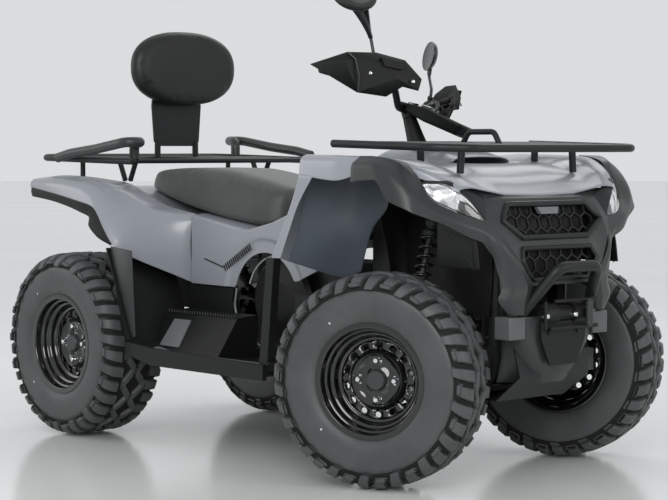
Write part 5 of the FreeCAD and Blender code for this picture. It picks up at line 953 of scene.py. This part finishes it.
def set_along(points, start, end):
    """A form turned about +Y from zero, set with its axis along a line from start towards end."""
    start, end = np.asarray(start, float), np.asarray(end, float)
    ahead = unit(end - start)
    helper = np.array([0, 0, 1.0]) if abs(ahead[2]) < 0.9 else np.array([1.0, 0, 0])
    across_line = unit(np.cross(ahead, helper))
    turn = np.stack([across_line, ahead, np.cross(across_line, ahead)])
    return np.asarray(points).reshape(-1, 3) @ turn + start


def turned_on(line, start, end, steps=32):
    """A closed turned form on the line from start towards end."""
    points, faces = closed_turn(line, steps)
    return set_along(points, start, end), faces


def block(near, far):
    """A solid between two outlines with the same number of corners."""
    n = len(near)
    sides = [(k, k + n, (k + 1) % n + n, (k + 1) % n) for k in range(n)]
    return np.concatenate([near, far]), [tuple(range(n)), tuple(range(2 * n - 1, n - 1, -1))] + sides


def add_steered(name, forms, finish, replaced=None, crisp=40):
    """Forms in the straight-ahead place, turned with the steering and riding on it."""
    points, faces = joined(forms)
    piece = outward(make_mesh(name, from_axles(steered(points)), faces, finish, crisp))
    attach(piece, "steering")
    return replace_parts(piece, replaced) if replaced else piece


clamp = turned_on([(0, 0), (0, 21), (24, 21), (26, 19), (26, 0)], (430, 0, 1078.8), (418.9, 0, 1104.2))
add_steered("handlebar_tube", [tube(HANDLEBAR, 11, 45), clamp], POWDER_COAT, "handlebar")
# Each grip covers the last 130 mm of the bar's 220 mm end: a flange, raised ribs 5 mm apart and a rounded end
grip_end = np.array([300, -370, 1163])
grip_start = grip_end + (np.array([438, -150, 1150]) - grip_end) * (130 / 220)
grip_long = float(np.linalg.norm(grip_end - grip_start))
grip_line = [(-12, 0), (-12, 20), (-9, 21.5), (-2, 21), (0, 17)]
for rib in np.arange(6, grip_long - 4, 5.0):
    grip_line += [(rib, 15.6), (rib + 1, 17), (rib + 3, 17), (rib + 4, 15.6)]
grip_line += [(grip_long + 4, 17), (grip_long + 9, 16), (grip_long + 12, 11), (grip_long + 12, 0)]
add_steered("rubber_grips", mirror_bars([turned_on(grip_line, grip_start, grip_end)]), GRIP_RUBBER,
            "grips", 25)

guard_out = unit(np.cross(GUARD[4] - GUARD[0], (0, 0, 1.0)))
guard_points = np.concatenate([GUARD, GUARD_INNER + guard_out * GUARD_BULGE[:, None]])
points, faces = both_sides(guard_points, GUARD_FACES)
guards = thicken(make_mesh("hand_shields", from_axles(steered(points)), faces, BLACK_LINER, 8), 0.005,
                 0.0022)
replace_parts(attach(guards, "steering"), "hand_guards")
guard_top = np.array([(430, -266, 1216), (486, -205, 1210), (480, -212, 1190), (440, -255, 1192)], float)
stays = [tube([(413, -190, 1152.4), (478, -190, 1172)], 8), tube([(440, -238, 1158), (447, -250, 1168)], 7),
         block(guard_top + guard_out * 6, guard_top + guard_out * 24)]
add_steered("guard_stays", mirror_bars(stays), BLACK_LINER)
ridge_line = np.array([(362, -341, 1217), (375, -326, 1200), (388, -313, 1150), (391, -309, 1106)], float)
ridge_line += guard_out * np.array([6, 18, 17, 7])[:, None]
add_steered("guard_ridges", mirror_bars([tube(ridge_line, 3.2)]), SHELL_BLACK)
shroud = turned_on([(0, 0), (0, 22), (50, 27), (92, 32), (92, 0)], (431, 0, 1076), (471, 0, 984.4), 10)
add_steered("column_shroud", [shroud], BLACK_LINER)
BOLT = [(0, 0), (0, 6), (3.5, 5.6), (5, 3.5), (5.4, 0)]
guard_bolts = [turned_on(BOLT, np.array(place) + guard_out * 13, np.array(place) + guard_out * 20, 16)
               for place in ((412, -286, 1165), (508, -182, 1160))]
add_steered("guard_bolts", mirror_bars(guard_bolts), CHROME)

# Levers, their perches, a brake fluid reservoir and the switch blocks inside the grips: cast aluminium and
# plastic.
perch = turned_on([(-14, 0), (-14, 16), (14, 16), (14, 0)], (432, -176, 1152), (421, -196, 1153), 20)
LEVER = [(432, -186, 1150), (440, -206, 1143), (408, -262, 1142), (345, -345, 1150), (325, -375, 1156)]
lever = tube(LEVER, np.interp(np.arange(23), (0, 8, 22), (9, 6, 5)), 25)
add_steered("levers", mirror_bars([perch, lever]), SHELL_BLACK)
RESERVOIR = [(0, 0), (0, 19), (22, 20), (24, 23), (31, 23), (33, 21), (33, 0)]
reservoir = turned_on(RESERVOIR, (430, -140, 1158), (434, -140, 1180), 24)
SWITCH = [(-20, 0), (-20, 19), (-16, 22), (16, 22), (20, 19), (20, 0)]
switches = [turned_on(SWITCH, (400, -222, 1157), (385, -246, 1158.6), 10),
            tube([(396, -214, 1178), (392, -224, 1186)], 8), tube([(404, -206, 1176), (402, -212, 1182)], 6)]
add_steered("switch_blocks", [reservoir] + mirror_bars(switches), BLACK_LINER)

# The mirrors: moulded shells on thin stems, with silvered glass set in. Each has its stem's corners, its
# centre, its turn about the upright and the point of the stem's line from which the shell's neck starts.
MIRROR_GLASS, _ = new_finish("silvered_glass", {"Base Color": linear("#dfe3e5"), "Metallic": 1.0,
                                                "Roughness": 0.03})
MIRRORS = (([(400, -211, 1154), (398, -225, 1220), (380, -240, 1300), (412, -349, 1368)], (384, -382, 1386),
            -35, 9), ([(400, 211, 1154), (380, 255, 1220), (345, 305, 1270), (340, 305, 1300)],
                      (338, 298, 1338), 38, 12))
MIRROR_WIDE, MIRROR_HIGH = 78, 48
# Depth in mm and share of the outline, from the shell's rim over its back, and the same for the glass
SHELL_LINE = through(np.array([(0, 0.93), (-1, 0.985), (3, 1.0), (9, 0.95), (16, 0.8), (20.5, 0.55),
                               (22, 0.15)]), 3)
GLASS_LINE = np.array([(1.5, 0.91), (0.5, 0.92), (0.2, 0.5), (0.2, 0.05)])
shells, glasses = [], []
for stem, centre, turn, neck_at in MIRRORS:
    shells.append(tube(stem, 5, 40, 12))
    shells.append(turned_on([(-14, 0), (-14, 10), (14, 9), (20, 7), (22, 0)], stem[0], stem[1], 20))
    c, s = math.cos(math.radians(turn)), math.sin(math.radians(turn))
    for forms, line in ((shells, SHELL_LINE), (glasses, GLASS_LINE)):
        x = line[:, :1] + 0 * around
        y, z = MIRROR_WIDE * line[:, 1:] * np.cos(around), MIRROR_HIGH * line[:, 1:] * np.sin(around)
        forms.append(closed_rings(np.stack([x * c - y * s, x * s + y * c, z], -1) + centre))
    # the shell's neck: flat rings that widen from the stem into the shell
    normal = np.array([c, s, 0])
    neck_start = rounded(stem, 40)[neck_at]
    neck_way = np.array(centre, float) + normal * 9 - neck_start
    neck_share = np.linspace(0, 1, 12)[:, None]
    neck = neck_start + neck_way * neck_share
    wide_way = unit(np.cross(normal, neck_way))
    deep_way = unit(np.cross(wide_way, neck_way))
    wide, deep = (7 + 35 * neck_share ** 1.6)[:, None], (7 + 1.5 * neck_share)[:, None]
    ring_turn = circle_angles(20)[None, :, None]
    shells.append(closed_rings(neck[:, None] + wide * np.cos(ring_turn) * wide_way
                               + deep * np.sin(ring_turn) * deep_way))
add_steered("mirror_shells", shells, SHELL_BLACK, "mirrors")
add_steered("mirror_glass", glasses, MIRROR_GLASS)

# The instrument pod: a black housing on the handlebar with a dark glass over its round display.
POD_TOP = np.array([(405, -60, 1126), (520, -90, 1104), (640, -60, 1052), (640, 60, 1052), (520, 90, 1104),
                    (405, 60, 1126)], float)
POD_LOW = np.array([(425, -40, 1098), (500, -60, 1056), (610, -40, 1022), (610, 40, 1022), (500, 60, 1056),
                    (425, 40, 1098)], float)
points, faces = block(POD_TOP, POD_LOW)
pod = outward(make_mesh("instrument_housing", from_axles(steered(points)), faces, BLACK_LINER, 30))
ease_edges(pod, 0.014, 4)
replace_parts(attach(pod, "steering"), "instrument_pod")
# Smoked glass, near black with a bright surface
SCREEN_GLASS, _ = new_finish("smoked_display_glass",
                             {"Base Color": linear("#0b0d0f"), "Roughness": 0.05, "Coat Weight": 1.0})
screen = turned_on([(-2, 0), (-2, 44), (4, 44), (6, 40), (6.5, 0)], (466, 0, 1115), (470, 0, 1136), 40)
add_steered("display_glass", [screen], SCREEN_GLASS)


# The shock absorbers: a black damper with a coil spring of 9 mm wire wound in seven turns, a collar at each
# end of the spring and an eye at each end of the rod.
SPRING_PAINT = grained("gloss_black_spring_enamel", ("#0e0f10", "#15161a"),
                       {"Roughness": 0.22, "Coat Weight": 0.3}, 300, 0.05)


def coil_spring(start, end, coil, wire, turns):
    """A wire wound on a line from start to end: the wire's middle runs round it at coil's radius while it
    moves on."""
    share = np.linspace(0, 1, turns * 24 + 1)
    angle = share * turns * 2 * np.pi
    long = float(np.linalg.norm(np.subtract(end, start)))
    path = np.stack([coil * np.sin(angle), share * long, coil * np.cos(angle)], -1)
    out = np.stack([np.sin(angle), 0 * angle, np.cos(angle)], -1)
    over = np.cross(unit(np.gradient(path, axis=0)), out)
    wire_turn = circle_angles(10)[None, :, None]
    points, faces = closed_rings(path[:, None] + wire
                                 * (np.cos(wire_turn) * out[:, None] + np.sin(wire_turn) * over[:, None]))
    return set_along(points, start, end), faces


# The damper's outline from foot to head: share of its length, plus millimetres, and radius
DAMPER = ((0, 0), (0, 14), (0.1, 15), (0.16, 26), (0.2, 27), (0.205, 17), (0.5, 17), (0.505, 8), (0.855, 8),
          (0.86, 26), (0.9, 25), (0.93, 14), (1, 13), (1, 0))
shock_bodies, shock_springs = [], []
for foot, head in (((730, -278, 465), (730, -192, 763)), ((-730, -289, 463), (-730, -192, 739))):
    foot, head = np.array(foot, float), np.array(head, float)
    way = head - foot
    shock_springs += mirror_bars([coil_spring(foot + way * 0.2, foot + way * 0.86, 24, 4.6, 7)])
    damper = np.array(DAMPER) * (np.linalg.norm(way), 1)
    eyes = [tube([end - (16, 0, 0), end + (16, 0, 0)], 15) for end in (foot, head)]
    shock_bodies += mirror_bars([turned_on(damper, foot, head, 28)] + eyes)
add_bars("shock_absorbers", shock_bodies, DARK_ALLOY, "chassis", "shocks")
add_bars("coil_springs", shock_springs, SPRING_PAINT, "chassis")


# The nose's fittings: bezels round the grille openings, a blank plate, the lamp surrounds, a cover on the
# skid plate with two square caps, and a winch with its roller and two bolts in the open foot of the nose.
# Satin black ABS round the openings and lamps; two greys of unpainted plastic on plates, pads and caps
BEZEL_PLASTIC = grained("satin_black_bezel", ("#131415", "#1b1d1e"),
                        {"Roughness": 0.3, "Specular IOR Level": 0.35}, 500, 0.1)
# the satin grey also paints the highlight on the sills' tops
SATIN_GREY_AND_HIGHLIGHT = grained("satin_grey_plastic_and_sill_highlight", ("#5d6163", "#6b6f71"), {"Roughness": 0.4}, 400, 0.1)
CAP_GREY = grained("grey_skid_cap", ("#4c4f50", "#565959"), {"Roughness": 0.5}, 500, 0.15)


def bezel(outline, radius):
    """A bar round an opening, on the nose's surface; it starts and ends in the middle of the top edge."""
    top = ((outline[0][0] + outline[-1][0]) / 2, outline[0][1])
    corners = np.array([top, *outline, top], float)
    steps = np.concatenate([np.linspace(a, b, 6)[:-1] for a, b in zip(corners, corners[1:])]
                           + [corners[-1:]])
    return tube(np.column_stack([nose_front(*steps.T) + 1, steps]), radius)


def add_fitting(name, forms, finish, crisp=45):
    """A dark plastic fitting of its own on the chassis."""
    return add_bars(name, forms, finish, "chassis", None, crisp)


add_fitting("grille_bezels", [bezel(UPPER_GRILLE, 9), bezel(LOWER_GRILLE, 7)], BEZEL_PLASTIC)
plate_front = np.array([(1016, -46, 812), (1016, 46, 812), (1024, 36, 792), (1024, -36, 792)], float)
add_fitting("blank_plate", [block(plate_front, plate_front - (14, 0, 0))], SATIN_GREY_AND_HIGHLIGHT, 20)
SURROUND = [[(905, -410, 886), (902, -402, 892), (895, -392, 893)],
            [(950, -373, 886), (945, -362, 893), (930, -340, 900)],
            [(990, -319, 848), (985, -306, 858), (975, -285, 866)],
            [(1019, -261, 777), (1008, -240, 800), (985, -222, 836)]]
add_loose("lamp_surrounds", both_sides(*turned_over(smooth_sheet(SURROUND, 8, 4))), BEZEL_PLASTIC, 0.003)
SKID_COVER = [[(1070, 0, 497), (1067, -100, 497), (1062, -146, 497), (1003, -172, 497)],
              [(1068, 0, 435), (1065, -95, 435), (1058, -138, 435), (1000, -170, 435)],
              [(1064, 0, 376), (1060, -75, 376), (1050, -112, 376), (982, -160, 376)],
              [(1056, 0, 330), (1052, -55, 330), (1042, -82, 330), (964, -152, 330)],
              [(1040, 0, 296), (1036, -42, 296), (1026, -62, 296), (950, -147, 298)]]
add_loose("skid_cover", smooth_sheet(whole(SKID_COVER), 6, 8), CHARCOAL_GRAIN, 0.005,
          bevel=0.0015, crisp=70)
cap_low, cap_high = (np.array([(1004, -150, z), (1066, -147, z), (1066, -214, z), (1004, -214, z)])
                     for z in (433.0, 499.0))
ease_edges(add_fitting("skid_caps", mirror_bars([block(cap_low, cap_high)]), CAP_GREY), 0.004, 3)
DRUM = [(-88, 0), (-88, 30), (-82, 34), (-30, 34), (-28, 24), (40, 24), (42, 34), (84, 34), (88, 30),
        (88, 0)]
winch = [turned_on(DRUM, (1062, 0, 500), (1062, 1, 500), 24), tube([(1100, -60, 541), (1100, 124, 541)], 5),
         tube([(1100, -80, 462), (1100, 124, 462)], 6), tube([(1100, -100, 462), (1100, -100, 541)], 5)]
# the plate's front face lies where the CAD plate's does
plate_x = (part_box("winch_plate")[1][0] + AXLES_MIDDLE) * 1000
PLATE = [(-96, 480), (96, 480), (96, 430), (58, 352), (-58, 352), (-96, 430)]
winch.append(block(*(np.array([(x, y, z) for y, z in PLATE]) for x in (plate_x, plate_x - 6))))
winch += [turned_on([(0, 0), (0, 8), (4, 8), (5, 6), (5, 0)], (plate_x, y, 450), (plate_x + 5, y, 450), 6)
          for y in (-62, 62)]
add_bars("winch", winch, BLACK_LINER, "chassis", "winch_plate")
ROLLER = [(0, 0), (0, 9), (4, 9), (5, 11), (76, 11), (77, 9), (82, 9), (82, 0)]
add_bars("winch_roller", [turned_on(ROLLER, (1104, 86, 460), (1104, 86, 480), 24)], DARK_ALLOY, "chassis")
NOSE_BOLT = [(-12, 0), (-12, 8.5), (6, 8.5), (9, 6), (10, 0)]
nose_bolts = [turned_on(NOSE_BOLT, (1096, y, 499), (1106, y, 499), 16) for y in (-93, 29)]
add_bars("winch_bolts", nose_bolts, CHROME, "chassis")
cheek_frame = tube([(895, -303, 745), (1000, -303, 722), (1014, -303, 640), (895, -303, 745)], 3.5)
add_fitting("cheek_frames", mirror_bars([cheek_frame]), BEZEL_PLASTIC)


# The footwells' fittings: toothed steel foot rests, a grey pad on the step, a light grey strip on the sill's
# top that paints its highlight, the pale rim round the transmission's cover and the slots in the side cover.
TOOTH = [(0, 0), (0, 4.5), (9, 2.2), (9.5, 0)]
tooth_feet = [(x, -338, 436) for x in np.arange(-382, -30, 14.0)]
tooth_feet += [(x, -470, 304) for x in np.arange(60, 290, 14.0)]
teeth = [turned_on(TOOTH, (x, y, z), (x, y, z + 10), 8) for x, y, z in tooth_feet]
add_bars("foot_rest_teeth", mirror_bars(teeth), POWDER_COAT, "chassis")
pad_corners = np.array([(-332, -351, 413), (-244, -351, 413), (-236, -409, 328), (-340, -409, 328)], float)
add_fitting("step_pads", mirror_bars([block(pad_corners, pad_corners + (0, -3.5, 2.5))]), SATIN_GREY_AND_HIGHLIGHT, 20)
# a light grey strip on the sill's top: a painted highlight
sill_line = np.array([(-262, -493, 334), (-188, -493, 322), (292, -493, 322), (292, -470, 323),
                      (-188, -470, 323), (-262, -470, 335)], float)
sill_points, sill_faces = block(sill_line, sill_line - (0, 0, 4))
# its top and foot bend where the sill does, so each is two faces
sill_highlight = (sill_points, [(0, 1, 4, 5), (1, 2, 3, 4), (11, 10, 7, 6), (10, 9, 8, 7)] + sill_faces[2:])
add_fitting("sill_painted_highlights", mirror_bars([sill_highlight]), SATIN_GREY_AND_HIGHLIGHT, 20)
cover_rim = tube([(-135, -246, 522), (-146, -246, 466), (-130, -246, 412), (-89, -246, 372),
                  (-16, -246, 341)], 4, 60)
add_fitting("cover_rims", mirror_bars([cover_rim]), SATIN_GREY_AND_HIGHLIGHT)
arc_turn = np.radians(np.linspace(100, 160, 14))
bright_arc = tube(np.column_stack([COVER_CENTRE[0] + 148 * np.cos(arc_turn), np.full(14, -189.0),
                                   COVER_CENTRE[1] + 148 * np.sin(arc_turn)]), 4)
add_bars("cover_trim", [bright_arc], CHROME, "chassis")
# The row of slots rises to the front; the shade in each slot is painted as a black bar set in the cover, square
# to the row
slot_from, slot_way = np.array([-197, -247.5, 587.0]), np.array([132, 0, 74.0])
slot_half = np.cross(unit(slot_way), (0, 11.0, 0))
slot_shades = [tube([slot_from + slot_way * k / 14 - slot_half, slot_from + slot_way * k / 14 + slot_half], 2.4,
              sides=8) for k in range(15)]
# the moulded groove that runs into the slots, its shade painted as a thin black bar
slot_shades.append(tube([(-306, -247, 613), (-197, -247, 587)], 2.2, sides=8))
add_bars("cooling_slot_shades", mirror_bars(slot_shades), BLACK_LINER, "chassis")
